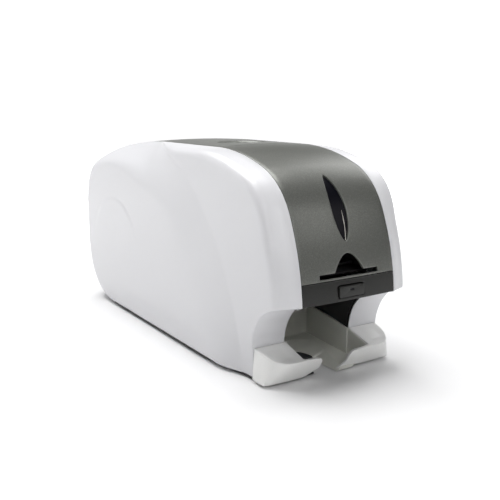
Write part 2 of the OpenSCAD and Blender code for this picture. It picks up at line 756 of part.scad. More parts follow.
module data_sockets() {
    color("#9a9a9a") {
        difference() {
            box([-14, -2], [172, 189], [26, 37]);
            box([-12.6, -3.4], [178, 192], [27.6, 35.4]);
        }
        box([-11, -5], [178, 187], [30.4, 32.6]);
        difference() {
            box([8, 24], [172, 189], [26, 40]);
            box([10, 22], [176, 192], [28, 36]);
            box([13, 19], [176, 192], [35.9, 38.6]);
        }
    }
}

rocker = [190.2, 60];
rocker_tilt = 7;
module switch_housing() {
    color("#161616") difference() {
        box([-36, -16], [176, 192], [54, 66]);
        box([-34, -18], [178, 194], [55.6, 64.4]);
        bar(rocker, 1, -35.2, -16.8);
    }
}

module power_rocker() {
    color("#242424") translate([0, rocker[0], rocker[1]]) rotate([-rocker_tilt, 0, 0])
        translate([0, -rocker[0], -rocker[1]]) {
        box([-33.6, -18.4], [186.4, 192.6], [56.8, 63.2]);
        bar(rocker, 0.95, -35, -17);
    }
}

// ---------------------------------------------------------------- inner frame

function frame_outline() = [[-150, 20], [-150, 104], [-112, 104], [-100, 158], [76, 158], [90, 146],
    [150, 146], [160, 130], [160, 10], [145, 10], [145, base_z], [-95, base_z],
    [-98, 20]];
module side_frame(left) {
    color("#b8babd") difference() {
        across(frame_x, frame_x + frame_t) polygon(frame_outline());
        for (y = [pickup_y, feed_y, platen_y, move_y])
            bar([y, y == pickup_y ? card_z + 0.5 - pickup_r : axis_z], bush_r, 40, 46);
        bar([feed_y, cleaner_z], thin_shaft_r + run_gap, 40, 46);
        bar([move_y, pinch_z], thin_shaft_r + run_gap, 40, 46);
        bar(takeup, bush_r, 40, 46);
        bar(supply, bush_r, 40, 46);
        bar([20, 40], 14, 40, 46);
        bar([75, 55], 18, 40, 46);
        if (left) bar([platen_y, motor_z], 6, 40, 46);
        if (!left) bar([fan_y, fan_z], 18, 40, 46);
    }
}

module left_frame() {
    mirror([1, 0, 0]) side_frame(true);
}

module right_frame() {
    side_frame(false);
}

module frame_crossbars() {
    color("#b8babd") {
        box([-frame_x, frame_x], [-98, -96], [8, 60]);
        box([-frame_x, frame_x], [100, 102], [108, 140]);
        box([-frame_x, frame_x], [150, 152], [30, 120]);
        box([-frame_x, frame_x], [-59.2, -55.6], [175, 178]);
        mirrored() box([frame_x - 1.6, frame_x], [-59.2, -55.6], [146, 178]);
        mirrored() box([frame_x + frame_t, 50], [-90, 140], [base_z, base_z + 2]);
    }
}

module bush(yz, x0, r) {
    difference() {
        union() {
            bar(yz, bush_r, x0, x0 + frame_t + 1);
            bar(yz, bush_r + 1.5, x0 + frame_t, x0 + frame_t + 1);
        }
        bar(yz, r + run_gap, x0 - 1, x0 + frame_t + 3);
    }
}

module shaft_bushes() {
    color("#d8d2c0") mirrored() {
        for (y = [feed_y, platen_y, move_y]) bush([y, axis_z], frame_x, shaft_r);
        bush([pickup_y, card_z + 0.5 - pickup_r], frame_x, shaft_r);
        bush(takeup, frame_x, shaft_r);
        bush(supply, frame_x, shaft_r);
    }
}

guide_gap = 9;
module card_guide() {
    color("#1b1b1b") difference() {
        box([-frame_x, frame_x], [-110, 146], [card_z - 3, card_z - 1]);
        for (y = [feed_y, platen_y, move_y]) box([-32, 32], [y - guide_gap, y + guide_gap], [90, 102]);
        for (y = [feed_y, platen_y, move_y]) box([-43, 43], [y - 4, y + 4], [90, 102]);
    }
    color("#1b1b1b") mirrored() for (y = [-74, 0, 84])
        box([card_w / 2 + 0.4, card_w / 2 + 2.4], [y, y + 20], [card_z - 1, card_z + 2.4]);
}

module belt_loop(r) {
    translate([feed_y, axis_z]) circle(r = r);
    translate([move_y, axis_z]) circle(r = r);
    translate([feed_y, axis_z - r]) square([move_y - feed_y, 2 * r]);
}

module drive_belt() {
    color("#222222") across(-belt_x - belt_w / 2, -belt_x + belt_w / 2) difference() {
        belt_loop(pulley_r + belt_gap + belt_t);
        belt_loop(pulley_r + belt_gap);
    }
}

module motor_can(yz, x0, x1, w) {
    box([x0, x1], [yz[0] - w / 2, yz[0] + w / 2], [yz[1] - w / 2, yz[1] + w / 2]);
}

module transport_motor() {
    color("#3a3a3d") difference() {
        motor_can([platen_y, motor_z], -41.8, -10, 30);
        bar([platen_y, motor_z], 2.6, -43, -14);
    }
}

module ribbon_motor() {
    color("#3a3a3d") {
        difference() {
            union() {
                bar([ribbon_motor_y, takeup[1]], 11, -72, -52);
                box([-54, -52], [ribbon_motor_y - 9, ribbon_motor_y + 16],
                    [takeup[1] - 9, takeup[1] + 9]);
            }
            bar([ribbon_motor_y, takeup[1]], 1.6, -68, -51);
        }
        box([-54, -frame_x - frame_t], [ribbon_motor_y + 13, ribbon_motor_y + 16],
            [takeup[1] - 9, takeup[1] + 9]);
    }
}

module main_board() {
    color("#1e5a38") box([-40, 40], [20, 148], [16, 17.6]);
    color("#1e5a38") box([-34, 34], [153, 172], [24, 25.6]);
    color("#222222") for (p = [[-20, 50, 8], [10, 60, 12], [18, 110, 9], [-16, 100, 10]])
        box([p[0] - p[2], p[0] + p[2]], [p[1] - p[2], p[1] + p[2]], [17.6, 20]);
    color("#333333") for (y = [76, 90]) translate([-4, y, 17.6]) cylinder(r = 5, h = 14);
    color("#999999") for (x = [-34, 34]) for (y = [26, 142]) translate([x, y, base_z])
        cylinder(r = 2.5, h = 16 - base_z);
}

module fan_frame() {
    h = fan_s / 2;
    color("#1c1c1c") difference() {
        box([frame_x + frame_t, 54], [fan_y - h, fan_y + h], [fan_z - h, fan_z + h]);
        bar([fan_y, fan_z], 18.4, 43, 52.4);
        difference() {
            bar([fan_y, fan_z], 18.4, 52, 55);
            box([52, 55], [fan_y - 1.2, fan_y + 1.2], [fan_z - h, fan_z + h]);
            box([52, 55], [fan_y - h, fan_y + h], [fan_z - 1.2, fan_z + 1.2]);
            bar([fan_y, fan_z], 7, 52, 55);
        }
        bar([fan_y, fan_z], 1.05, 50, 56);
    }
}

module fan_rotor() {
    color("#2a2a2a") {
        bar([fan_y, fan_z], 8, 45, 51.6);
        bar([fan_y, fan_z], 1, 51, 53.8);
        for (i = [0:6]) translate([0, fan_y, fan_z]) rotate([i * 360 / 7, 0, 0])
            translate([47.4, 6, 0]) rotate([0, 35, 0]) box([0, 1], [0, 11.4], [-5, 4]);
    }
}

// ---------------------------------------------------------------- hopper parts

module hopper_bin() {
    side = [[bin_front_y, 94.4], [bin_front_y, 116], [-192, 138], [-178, 156], [-160, 168], [-136, 178],
        [bin_rear_y, 182], [bin_rear_y, 94.4]];
    color("#262626") {
        mirrored() difference() {
            across(bin_x + 0.6, bin_x + 2.6) polygon(side);
            across(0, 60) polygon([[pickup_y - 9, 90], [pickup_y + 9, 90], [pickup_y + 9, 98],
                [pickup_y - 9, 98]]);
        }
        difference() {
            box([-bin_x - 0.6, bin_x + 0.6], [bin_front_y, bin_rear_y], [card_z - 2, card_z]);
            box([-bin_x, bin_x], [pickup_y - 9, pickup_y + 9], [90, 110]);
        }
        box([-bin_x - 0.6, bin_x + 0.6], [bin_rear_y - 2, bin_rear_y], [card_z + 1.2, 182]);
        mirrored() for (y = [[-146, pickup_y - 4.5], [pickup_y + 4.5, -114]])
            box([bin_x + 2.6, frame_x], y, [94.4, 96.4]);
    }
}

module card_weight() {
    color("#8f9296") {
        box([-bin_x + 0.6, bin_x - 0.6], [-184, -116], [weight_z, weight_z + 3]);
        box([-12, 12], [-170, -130], [weight_z + 3, weight_z + 8]);
    }
}

// ---------------------------------------------------------------- rollers, shafts and gears

module roller_with_pulley(y, r) {
    color("#3b3f46") bar([y, axis_z], r, -29, 29);
    color("silver") {
        bar([y, axis_z], shaft_r, -53, -29);
        bar([y, axis_z], shaft_r, 29, 47);
        bar([y, axis_z], pulley_r, -belt_x - belt_w / 2 - 0.4, -belt_x + belt_w / 2 + 0.4);
    }
}

module feed_roller() {
    roller_with_pulley(feed_y, drive_r);
}

module transport_roller() {
    roller_with_pulley(move_y, drive_r);
}

module platen_roller() {
    color("#2b2b2d") difference() {
        bar([platen_y, axis_z], drive_r, -29, 29);
        bar([platen_y, axis_z], shaft_r, -30, 30);
    }
}

module platen_shaft() {
    color("silver") {
        bar([platen_y, axis_z], shaft_r, -gear_x - gear_w / 2 - 1, 47);
        bar([platen_y, axis_z], pulley_r, -belt_x - belt_w / 2 - 0.4, -belt_x + belt_w / 2 + 0.4);
        translate([-gear_x - gear_w / 2, platen_y, axis_z]) rotate([90, 0, 90])
            linear_extrude(gear_w) rotate(-90) gear_outline(gear_teeth, gear_m);
    }
}

module motor_pinion() {
    color("goldenrod") {
        translate([-gear_x - gear_w / 2, platen_y, motor_z]) rotate([90, 0, 90])
            linear_extrude(gear_w) rotate(90) gear_outline(pinion_teeth, gear_m, true);
        bar([platen_y, motor_z], 2.5, -gear_x - gear_w / 2, -16);
    }
}

module idle_roller(y, z, r) {
    bar([y, z], r, -29, 29);
    bar([y, z], thin_shaft_r, -frame_x - 1.8, frame_x + 1.8);
}

module cleaning_roller() {
    color("#3f6fb0") idle_roller(feed_y, cleaner_z, cleaner_r);
}

module pinch_roller() {
    color("#8a8d90") idle_roller(move_y, pinch_z, pinch_r);
}

module pickup_roller() {
    z = card_z + 0.5 - pickup_r;
    color("#35383c") {
        for (x = [-20, 8]) bar([pickup_y, z], pickup_r, x, x + 12);
        bar([pickup_y, z], shaft_r, -46, 46);
    }
}

// ---------------------------------------------------------------- ribbon

spool_r = 8;
module spool(yz, x0) {
    bar(yz, spool_r, -30, 30);
    bar(yz, shaft_r, x0, 46);
    for (x = [-32, 30]) bar(yz, 13, x, x + 2);
}

module supply_spool() {
    color("#e8e8e4") spool(supply, -46);
}

module supply_ribbon() {
    color("#6a2f55") difference() {
        bar(supply, 15.5, -28.5, 28.5);
        bar(supply, spool_r, -30, 30);
    }
}

module takeup_spool() {
    color("#e8e8e4") {
        spool(takeup, -52);
        translate([-ribbon_gear_x - 2, takeup[0], takeup[1]]) rotate([90, 0, 90]) linear_extrude(4)
            gear_outline(gear_teeth, ribbon_m);
    }
}

module ribbon_pinion() {
    color("goldenrod") {
        translate([-ribbon_gear_x - 2, ribbon_motor_y, takeup[1]]) rotate([90, 0, 90])
            linear_extrude(4) rotate(180) gear_outline(pinion_teeth, ribbon_m, true);
        bar([ribbon_motor_y, takeup[1]], 1.5, -66, -ribbon_gear_x + 2);
    }
}

module ribbon_cassette() {
    ends = [[-82, 122], [-82, 154], [52, 154], [52, 118], [8, 106], [0, 106], [0, 118], [-40, 118],
        [-40, 106], [-48, 106]];
    color("#d9d9d5") {
        mirrored() difference() {
            across(36, 38) polygon(ends);
            bar(takeup, 9, 30, 40);
            bar(supply, 9, 30, 40);
        }
        for (y = [-82, 49]) box([-36, 36], [y, y + 3], [148, 154]);
        mirrored() for (y = [-70, 44]) box([38, frame_x], [y, y + 4], [148, 152]);
        bar([-44, 108.4], 1.8, -36, 36);
        bar([4, 108.4], 1.8, -36, 36);
    }
}

// Thin film from the supply roll, under the print line, to the take-up core.
film_t = 0.3;
module ribbon_film() {
    path = [[38.4, 121.75], [6.2, 107.2], [4, 106.2], [platen_y, card_z + 0.9], [-44, 106.2],
        [-46.2, 107.6], [-54.6, 136]];
    lift = [for (p = path) [p[0], p[1] - film_t]];
    color("#7a2f62") across(-28, 28)
        polygon(concat(path, [for (i = [len(path) - 1:-1:0]) lift[i]]));
}

// ---------------------------------------------------------------- screws

module screws() {
    color("#777777") mirrored() for (p = [[-140, 30], [-104, 30], [110, 20], [150, 60], [-120, 98]])
        translate([frame_x + frame_t, p[0], p[1]]) rotate([0, 90, 0]) cylinder(r = 2.6, h = 1.6);
    color("#777777") for (x = [-60, 60]) for (y = [-20, 60]) translate([x, y, foot_h - 0.8])
        cylinder(r = 3, h = 0.8);
}

// ---------------------------------------------------------------- the assembly

base_plate();
rubber_feet();
left_cover();
right_cover();
front_bezel();
left_tray_foot();
right_tray_foot();
output_tray();
bay_liner();
hopper_bin();
rear_top_cover();
rear_panel();
left_frame();
right_frame();
frame_crossbars();
shaft_bushes();
card_guide();
drive_belt();
transport_motor();
ribbon_motor();
main_board();
button_board();
button_spring();
hinge_pins();
power_inlet();
data_sockets();
switch_housing();
fan_frame();
ribbon_cassette();
ribbon_film();
screws();
top_lid();
lid_frame();
release_button();
release_spring();
lid_latch();
print_head();
heat_sink();
head_springs();
door_panel();
door_frame();
window_lens();
function_button();
light_pipe();
power_rocker();
platen_roller();
platen_shaft();
feed_roller();
transport_roller();
cleaning_roller();
pinch_roller();
pickup_roller();
motor_pinion();
supply_spool();
supply_ribbon();
takeup_spool();
ribbon_pinion();
fan_rotor();
card_weight();
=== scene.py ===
import json
import math

import bmesh
import bpy
from mathutils import Euler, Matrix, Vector
from mathutils.kdtree import KDTree


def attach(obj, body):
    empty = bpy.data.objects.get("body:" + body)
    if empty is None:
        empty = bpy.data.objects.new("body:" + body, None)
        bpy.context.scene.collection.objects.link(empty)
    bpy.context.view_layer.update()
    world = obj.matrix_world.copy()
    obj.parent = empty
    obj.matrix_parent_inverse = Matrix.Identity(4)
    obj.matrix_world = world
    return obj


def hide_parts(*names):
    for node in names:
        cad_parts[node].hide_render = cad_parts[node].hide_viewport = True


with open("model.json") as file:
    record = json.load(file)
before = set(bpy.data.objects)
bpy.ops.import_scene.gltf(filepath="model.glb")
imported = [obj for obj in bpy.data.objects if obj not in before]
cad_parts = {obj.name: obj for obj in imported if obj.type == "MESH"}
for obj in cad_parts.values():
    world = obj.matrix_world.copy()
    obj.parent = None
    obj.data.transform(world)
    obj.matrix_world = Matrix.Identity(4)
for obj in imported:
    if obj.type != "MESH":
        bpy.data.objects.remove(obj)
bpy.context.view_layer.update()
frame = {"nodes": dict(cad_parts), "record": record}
nodes = frame["nodes"]
bodyOf = {node: body for body, group in frame["record"]["behaviour"]["bodies"].items() for node in group}
slotOf = {part["node"]: part["material_slot"] for part in frame["record"]["subparts"]}
print("frame loaded:", len(nodes), "nodes")

# sizes in millimetres, turned into metres when a mesh is finished
shell = {
    "stripHalf": 52.1, "rim": 52.5, "top": 205.7, "crown": 1.8, "crownHalf": 52.3, "wall": 2.4, "baseZ": 3,
    "topY": -73.5, "topR": 232, "topA": 20, "cornerR": 72.5, "cornerA": 65.5, "frontR": 224,
    "flatY": 30, "slopeR": 700, "backR": 75, "backA": 10.23, "heelR": 72, "rearY": 216,
    "bezelTop": 96.4, "bezelBottom": 77.5, "doorGap": 0.3, "lidY": -80, "lidGap": 0.4, "lidEnd": 156,
}


def turned(centre, angle, radius, side):
    # a point at an angle from straight up, and its outward normal; side is -1 to the front, 1 to the rear
    a = math.radians(angle)
    normal = Vector((side * math.sin(a), math.cos(a)))
    return centre + normal * radius, normal


topCentre = Vector((shell["topY"], shell["top"] - shell["topR"]))
cornerCentre = turned(topCentre, shell["topA"], shell["topR"] - shell["cornerR"], -1)[0]
frontCentre = turned(cornerCentre, shell["cornerA"], shell["cornerR"] - shell["frontR"], -1)[0]
slopeCentre = Vector((shell["flatY"], shell["top"] - shell["slopeR"]))
backCentre = Vector((shell["rearY"] - shell["backR"],
                     turned(slopeCentre, shell["backA"], shell["slopeR"] - shell["backR"], 1)[0].y))
heelCentre = Vector((shell["rearY"] - shell["heelR"], shell["baseZ"] + shell["heelR"]))


def frontAngle(z):
    if z < frontCentre.y + shell["frontR"] * math.cos(math.radians(shell["cornerA"])):
        return math.degrees(math.acos((z - frontCentre.y) / shell["frontR"]))
    if z < cornerCentre.y + shell["cornerR"] * math.cos(math.radians(shell["topA"])):
        return math.degrees(math.acos((z - cornerCentre.y) / shell["cornerR"]))
    return math.degrees(math.acos((z - topCentre.y) / shell["topR"]))


# the centre strip's path from the bezel's lower edge over the top and down the rear:
# length, then centre, radius, first angle, last angle and side of each arc
bottomA = frontAngle(shell["bezelBottom"])
arcs = [
    (frontCentre, shell["frontR"], bottomA, shell["cornerA"], -1),
    (cornerCentre, shell["cornerR"], shell["cornerA"], shell["topA"], -1),
    (topCentre, shell["topR"], shell["topA"], 0, -1),
    (None, shell["flatY"] - shell["topY"], 0, 0, 1),
    (slopeCentre, shell["slopeR"], 0, shell["backA"], 1),
    (backCentre, shell["backR"], shell["backA"], 90, 1),
]


def arcLength(arc):
    return arc[1] if arc[0] is None else arc[1] * math.radians(abs(arc[3] - arc[2]))


def pathAt(s):
    for arc in arcs:
        length = arcLength(arc)
        if s <= length or arc is arcs[-1]:
            centre, radius, first, last, side = arc
            if centre is None:
                return Vector((shell["topY"] + s, shell["top"])), Vector((0, 1))
            return turned(centre, first + (last - first) * s / length, radius, side)
        s -= length


def pathOfZ(z):
    # distance along the path of the front's height z
    a = frontAngle(z)
    if a >= shell["cornerA"]:
        return shell["frontR"] * math.radians(bottomA - a)
    if a >= shell["topA"]:
        return arcLength(arcs[0]) + shell["cornerR"] * math.radians(shell["cornerA"] - a)
    return arcLength(arcs[0]) + arcLength(arcs[1]) + shell["topR"] * math.radians(shell["topA"] - a)


def pathOfY(y):
    # distance along the path of a place on the top or the rear slope
    start = sum(arcLength(arc) for arc in arcs[:3])
    if y < shell["topY"]:
        return start - shell["topR"] * math.asin((shell["topY"] - y) / shell["topR"])
    if y < shell["flatY"]:
        return start + y - shell["topY"]
    return start + arcLength(arcs[3]) + shell["slopeR"] * math.asin((y - shell["flatY"]) / shell["slopeR"])


def smooth(t):
    # 0 to 1, level at both ends
    t = max(0.0, min(1.0, t))
    return t * t * (3 - 2 * t)


# materials

class Sock:
    def __init__(self, tree, socket):
        self.tree = tree
        self.socket = socket

    def maths(self, kind, *values):
        node = self.tree.nodes.new("ShaderNodeMath")
        node.operation = kind
        for slot, value in zip(node.inputs, values):
            feed(self.tree, slot, value)
        return Sock(self.tree, node.outputs[0])

    def __add__(self, other):
        return self.maths("ADD", self, other)

    def __radd__(self, other):
        return self.maths("ADD", other, self)

    def __sub__(self, other):
        return self.maths("SUBTRACT", self, other)

    def __rsub__(self, other):
        return self.maths("SUBTRACT", other, self)

    def __mul__(self, other):
        return self.maths("MULTIPLY", self, other)

    def __rmul__(self, other):
        return self.maths("MULTIPLY", other, self)

    def power(self, other):
        return self.maths("POWER", self, other)

    def ramp(self, low, high):
        # 0 below low, 1 above high
        level = (self - low) * (1 / (high - low))
        level = level.maths("MAXIMUM", level, 0)
        return level.maths("MINIMUM", level, 1)


def feed(tree, slot, value):
    if isinstance(value, Sock):
        tree.links.new(value.socket, slot)
    elif slot.type == "RGBA" and len(value) == 3:
        slot.default_value = (*value, 1)
    else:
        slot.default_value = value


class Finish:
    def __init__(self, name, **fixed):
        self.material = bpy.data.materials.new(name)
        self.material.use_nodes = True
        self.tree = self.material.node_tree
        self.shader = self.tree.nodes["Principled BSDF"]
        self.place = self.node("ShaderNodeTexCoord", {}, "Object")
        for socket, value in fixed.items():
            self.put(socket, value)

    def put(self, socket, value):
        feed(self.tree, self.shader.inputs[socket.replace("_", " ")], value)

    def node(self, kind, settings, out=0, **sockets):
        node = self.tree.nodes.new(kind)
        for key, value in settings.items():
            setattr(node, key, value)
        for key, value in sockets.items():
            feed(self.tree, node.inputs[key.replace("_", " ")], value)
        return Sock(self.tree, node.outputs[out])

    def noise(self, scale, detail=2.0, stretch=None):
        place = self.place
        if stretch:
            place = self.node("ShaderNodeMapping", {}, Vector=self.place, Scale=stretch)
        return self.node("ShaderNodeTexNoise", {}, "Fac", Vector=place, Scale=scale, Detail=detail)

    def blend(self, factor, first, second):
        node = self.tree.nodes.new("ShaderNodeMix")
        node.data_type = "RGBA"
        feed(self.tree, node.inputs["Factor"], factor)
        feed(self.tree, node.inputs[6], first)
        feed(self.tree, node.inputs[7], second)
        return Sock(self.tree, node.outputs[2])

    def bump(self, height, strength, distance=0.0002):
        self.put("Normal", self.node("ShaderNodeBump", {}, "Normal", Height=height, Strength=strength,
                                     Distance=distance))


def plastic(name, colour, other, roughness, grain, bump, coat=0.0, metallic=0.0, spread=0.08):
    # moulded plastic: a fine grain in the surface, a faint cloud in colour and gloss
    finish = Finish(name, Metallic=metallic, Coat_Weight=coat, Coat_Roughness=0.25)
    fine = finish.noise(grain, 3.0)
    cloud = finish.noise(14.0, 3.0)
    finish.put("Base_Color", finish.blend(cloud * 0.5 + fine * 0.5, colour, other))
    finish.put("Roughness", roughness + (cloud - 0.5) * spread + (fine - 0.5) * spread)
    finish.bump(fine, bump)
    return finish.material


def metal(name, colour, other, roughness, stretch, metallic=1.0):
    finish = Finish(name, Metallic=metallic)
    lines = finish.noise(60.0, 4.0, stretch)
    cloud = finish.noise(20.0)
    finish.put("Base_Color", finish.blend(lines * 0.6 + cloud * 0.4, colour, other))
    finish.put("Roughness", roughness + (lines - 0.5) * 0.2)
    finish.bump(lines, 0.12)
    return finish.material


def graphitePaint(name, dark, light):
    # metallic grey plastic with fine pearl flakes
    finish = Finish(name, Coat_Weight=0.12, Coat_Roughness=0.35)
    flakes = finish.node("ShaderNodeTexVoronoi", {"feature": "F1"}, "Color", Vector=finish.place, Scale=2600.0)
    shine = finish.node("ShaderNodeSeparateColor", {}, "Red", Color=flakes)
    cloud = finish.noise(9.0, 2.0)
    fine = finish.noise(1500.0, 2.0)
    finish.put("Base_Color", finish.blend(shine.power(3.0) * 0.45 + cloud * 0.1, dark, light))
    finish.put("Metallic", 0.35 + shine * 0.2)
    finish.put("Roughness", 0.36 + (fine - 0.5) * 0.12 + (cloud - 0.5) * 0.04)
    finish.bump(fine, 0.10)
    return finish.material


def ribbonFilm():
    # coloured panels that repeat along the film
    finish = Finish("ribbonFilm", Coat_Weight=0.6, Coat_Roughness=0.1)
    magenta, yellow = (0.32, 0.03, 0.16), (0.5, 0.36, 0.03)
    panels = finish.node("ShaderNodeSeparateXYZ", {}, "Y", Vector=finish.place) * 12.0
    step = panels.maths("FRACT", panels)
    finish.put("Base_Color", finish.blend(step.maths("GREATER_THAN", step, 0.5), magenta, yellow))
    finish.put("Roughness", 0.22 + finish.noise(40.0) * 0.1)
    return finish.material


def circuitBoard():
    finish = Finish("circuitBoard", Coat_Weight=0.4, Coat_Roughness=0.15)
    tracks = finish.node("ShaderNodeTexBrick", {}, "Fac", Vector=finish.place, Scale=160.0)
    finish.put("Base_Color", finish.blend(tracks, (0.012, 0.09, 0.035), (0.03, 0.2, 0.08)))
    finish.put("Roughness", 0.3 + finish.noise(300.0) * 0.15)
    finish.bump(tracks, 0.2)
    return finish.material


finishes = {
    "white_plastic": plastic("whitePlastic", (0.69, 0.69, 0.71), (0.73, 0.73, 0.75), 0.36, 900.0, 0.035, 0.25),
    "warm_white_plastic": plastic("warmWhitePlastic", (0.86, 0.86, 0.845), (0.9, 0.9, 0.885), 0.40, 900.0,
                                  0.04, 0.15),
    "graphite_plastic": graphitePaint("graphitePaint", (0.129, 0.133, 0.121), (0.32, 0.326, 0.301)),
    # much darker copy of the graphite paint for the front bezel and button: partly their own darker tone,
    # partly painted shade for the dim low front
    "dark_graphite_plastic": graphitePaint("darkAndShadedGraphitePaint", (0.016, 0.016, 0.015), (0.044, 0.044, 0.04)),
    "tray_plastic": plastic("trayPlastic", (0.70, 0.705, 0.65), (0.74, 0.745, 0.69), 0.42, 800.0, 0.06, 0.1),
    "black_plastic": plastic("blackPlastic", (0.012, 0.012, 0.013), (0.02, 0.02, 0.021), 0.5, 600.0, 0.08),
    "base_metal": plastic("basePaint", (0.03, 0.03, 0.034), (0.045, 0.045, 0.05), 0.55, 500.0, 0.1),
    "frame_steel": metal("frameSteel", (0.50, 0.51, 0.53), (0.62, 0.63, 0.65), 0.34, (1, 1, 14)),
    "shaft_steel": metal("shaftSteel", (0.55, 0.55, 0.57), (0.68, 0.68, 0.70), 0.22, (1, 10, 10)),
    "grey_steel": metal("greySteel", (0.36, 0.37, 0.38), (0.44, 0.45, 0.46), 0.30, (1, 10, 10)),
    "rubber": plastic("rubber", (0.022, 0.022, 0.023), (0.04, 0.04, 0.04), 0.72, 400.0, 0.2),
    "cleaning_rubber": plastic("cleaningRubber", (0.05, 0.14, 0.42), (0.07, 0.18, 0.5), 0.55, 400.0, 0.12),
    "aluminium": metal("aluminium", (0.60, 0.61, 0.63), (0.72, 0.73, 0.75), 0.36, (12, 1, 1)),
    "ceramic": plastic("ceramic", (0.52, 0.43, 0.24), (0.62, 0.52, 0.32), 0.2, 300.0, 0.03, 0.6),
    "motor_black": plastic("motorPaint", (0.04, 0.04, 0.043), (0.06, 0.06, 0.065), 0.4, 700.0, 0.08, 0.2),
    "board_green": circuitBoard(),
    "brass": metal("brass", (0.55, 0.40, 0.14), (0.68, 0.51, 0.21), 0.28, (1, 8, 8)),
    "nylon": plastic("nylon", (0.68, 0.66, 0.60), (0.75, 0.73, 0.67), 0.45, 500.0, 0.06),
    "ribbon": ribbonFilm(),
    "dark_lens": plastic("darkLens", (0.003, 0.003, 0.005), (0.007, 0.007, 0.010), 0.3, 900.0, 0.01),
}
finishes["dark_lens"].node_tree.nodes["Principled BSDF"].inputs["Specular IOR Level"].default_value = 0.12
for name, node in nodes.items():
    node.data.materials.clear()
    node.data.materials.append(finishes[slotOf[name]])
print("materials:", len(finishes))


# modelling helpers

def finishPiece(bm, name, *replaced, slot=None, body=None, sharp=38):
    # scales to metres, shades, and ties the piece to its body
    bmesh.ops.scale(bm, vec=(0.001, 0.001, 0.001), verts=bm.verts)
    mesh = bpy.data.meshes.new(name)
    bm.to_mesh(mesh)
    bm.free()
    mesh.shade_smooth()
    mesh.set_sharp_from_angle(angle=math.radians(sharp))
    piece = bpy.data.objects.new(name, mesh)
    bpy.context.scene.collection.objects.link(piece)
    slot = slot or slotOf[replaced[0]]
    mesh.materials.append(finishes[slot])
    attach(piece, body or bodyOf[replaced[0]])
    if replaced:
        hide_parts(*replaced)
    return piece


def outlineLoop(bm, points):
    verts = [bm.verts.new((*point, 0)) for point in points]
    return [bm.edges.new((a, b)) for a, b in zip(verts, verts[1:] + verts[:1])]


def insetFaces(bm, faces, width, depth=0.0):
    bmesh.ops.inset_region(bm, faces=faces, thickness=width, depth=depth, use_boundary=True,
                           use_even_offset=True)


def plate(loops, thickness, edge, steps=((0.13, 0.5), (0.28, 0.32), (0.5, 0.18))):
    # flat plate from closed outlines, the later ones holes, its top at height 0 with rounded edges
    bm = bmesh.new()
    edges = [e for loop in loops for e in outlineLoop(bm, loop)]
    bmesh.ops.triangle_fill(bm, use_beauty=True, use_dissolve=False, edges=edges)
    bmesh.ops.recalc_face_normals(bm, faces=bm.faces)
    if sum(face.normal.z for face in bm.faces) > 0:
        bmesh.ops.reverse_faces(bm, faces=bm.faces)
    bmesh.ops.translate(bm, vec=(0, 0, -thickness), verts=bm.verts)
    raised = bmesh.ops.extrude_face_region(bm, geom=list(bm.faces), use_keep_orig=True)["geom"]
    top = [g for g in raised if isinstance(g, bmesh.types.BMFace)]
    bmesh.ops.translate(bm, vec=(0, 0, thickness - edge),
                        verts=[g for g in raised if isinstance(g, bmesh.types.BMVert)])
    bmesh.ops.recalc_face_normals(bm, faces=bm.faces)
    for inset, rise in steps if edge > 0 else ():
        insetFaces(bm, top, inset * edge, rise * edge)
    return bm


def cutAcross(bm, axis, places):
    # cuts the whole mesh by planes across an axis, so that it can bend
    normal = Vector([float(i == axis) for i in range(3)])
    for place in places:
        bmesh.ops.bisect_plane(bm, geom=list(bm.verts) + list(bm.edges) + list(bm.faces), dist=0.0005,
                               plane_co=normal * place, plane_no=normal)


def spread(start, end, step):
    count = max(1, round(abs(end - start) / step))
    return [start + (end - start) * i / count for i in range(1, count)]


def lift(x):
    return shell["crown"] * (1 - (x / shell["crownHalf"]) ** 2)


def wrap(bm, sink=None):
    # bends a plate drawn in (x, distance along the strip) over the crowned centre strip
    for vert in bm.verts:
        x, s, h = vert.co
        point, normal = pathAt(s)
        if sink:
            h -= sink(x, s)
        point = point + normal * (h + lift(x))
        vert.co = (x, point.x, point.y)


def rectangle(x0, x1, s0, s1, corner=0.6, count=4):
    points = []
    for cx, cs, start in ((x1 - corner, s1 - corner, 0), (x0 + corner, s1 - corner, 90),
                          (x0 + corner, s0 + corner, 180), (x1 - corner, s0 + corner, 270)):
        for i in range(count + 1):
            a = math.radians(start + 90 * i / count)
            points.append((cx + corner * math.cos(a), cs + corner * math.sin(a)))
    return points


def block(bm, low, high):
    size = [b - a for a, b in zip(low, high)]
    made = bmesh.ops.create_cube(bm, size=1)["verts"]
    bmesh.ops.scale(bm, vec=size, verts=made)
    bmesh.ops.translate(bm, vec=[(a + b) / 2 for a, b in zip(low, high)], verts=made)
    return made


def rod(bm, place, radius, x0, x1, sides=32):
    made = bmesh.ops.create_cone(bm, cap_ends=True, segments=sides, radius1=radius, radius2=radius,
                                 depth=x1 - x0)["verts"]
    bmesh.ops.rotate(bm, matrix=Euler((0, math.pi / 2, 0)).to_matrix(), verts=made)
    bmesh.ops.translate(bm, vec=((x0 + x1) / 2, place[0], place[1]), verts=made)
    return made


# side covers

cover = {
    "front": 79, "fender": 86.3, "returnX": 68.5, "archCentre": (-214, 31), "archSize": (46, 46.5),
    "centre": (60, 0), "reach": 212, "spine": ((-70, 108), (110, 98)), "step": 2.3, "rings": 62,
    "archInner": 38.5, "wall": 1.5, "topRound": 8, "rearRound": 14, "shoulder": (72, 56), "archTurn": 78,
    "legY": (-164, -168), "legZ": (7, 31), "legRound": (1.8, 1.4), "spineOver": (-130, 170),
    "near": (0.0, 0.0008, 0.0025, 0.0055, 0.0095, 0.0145, 0.02, 0.027, 0.036, 0.047, 0.06), "nearSpine": 0.995,
    "band": ((45, 14), (53, 14), (60, 17), (70, 18), (85, 27), (98, 37), (110, 41), (120, 43), (130, 49),
             (141, 56), (158, 50), (174, 34), (190, 24)),
    "shield": {"centre": (116, 84), "size": (62, 52), "rise": 0.7},
}


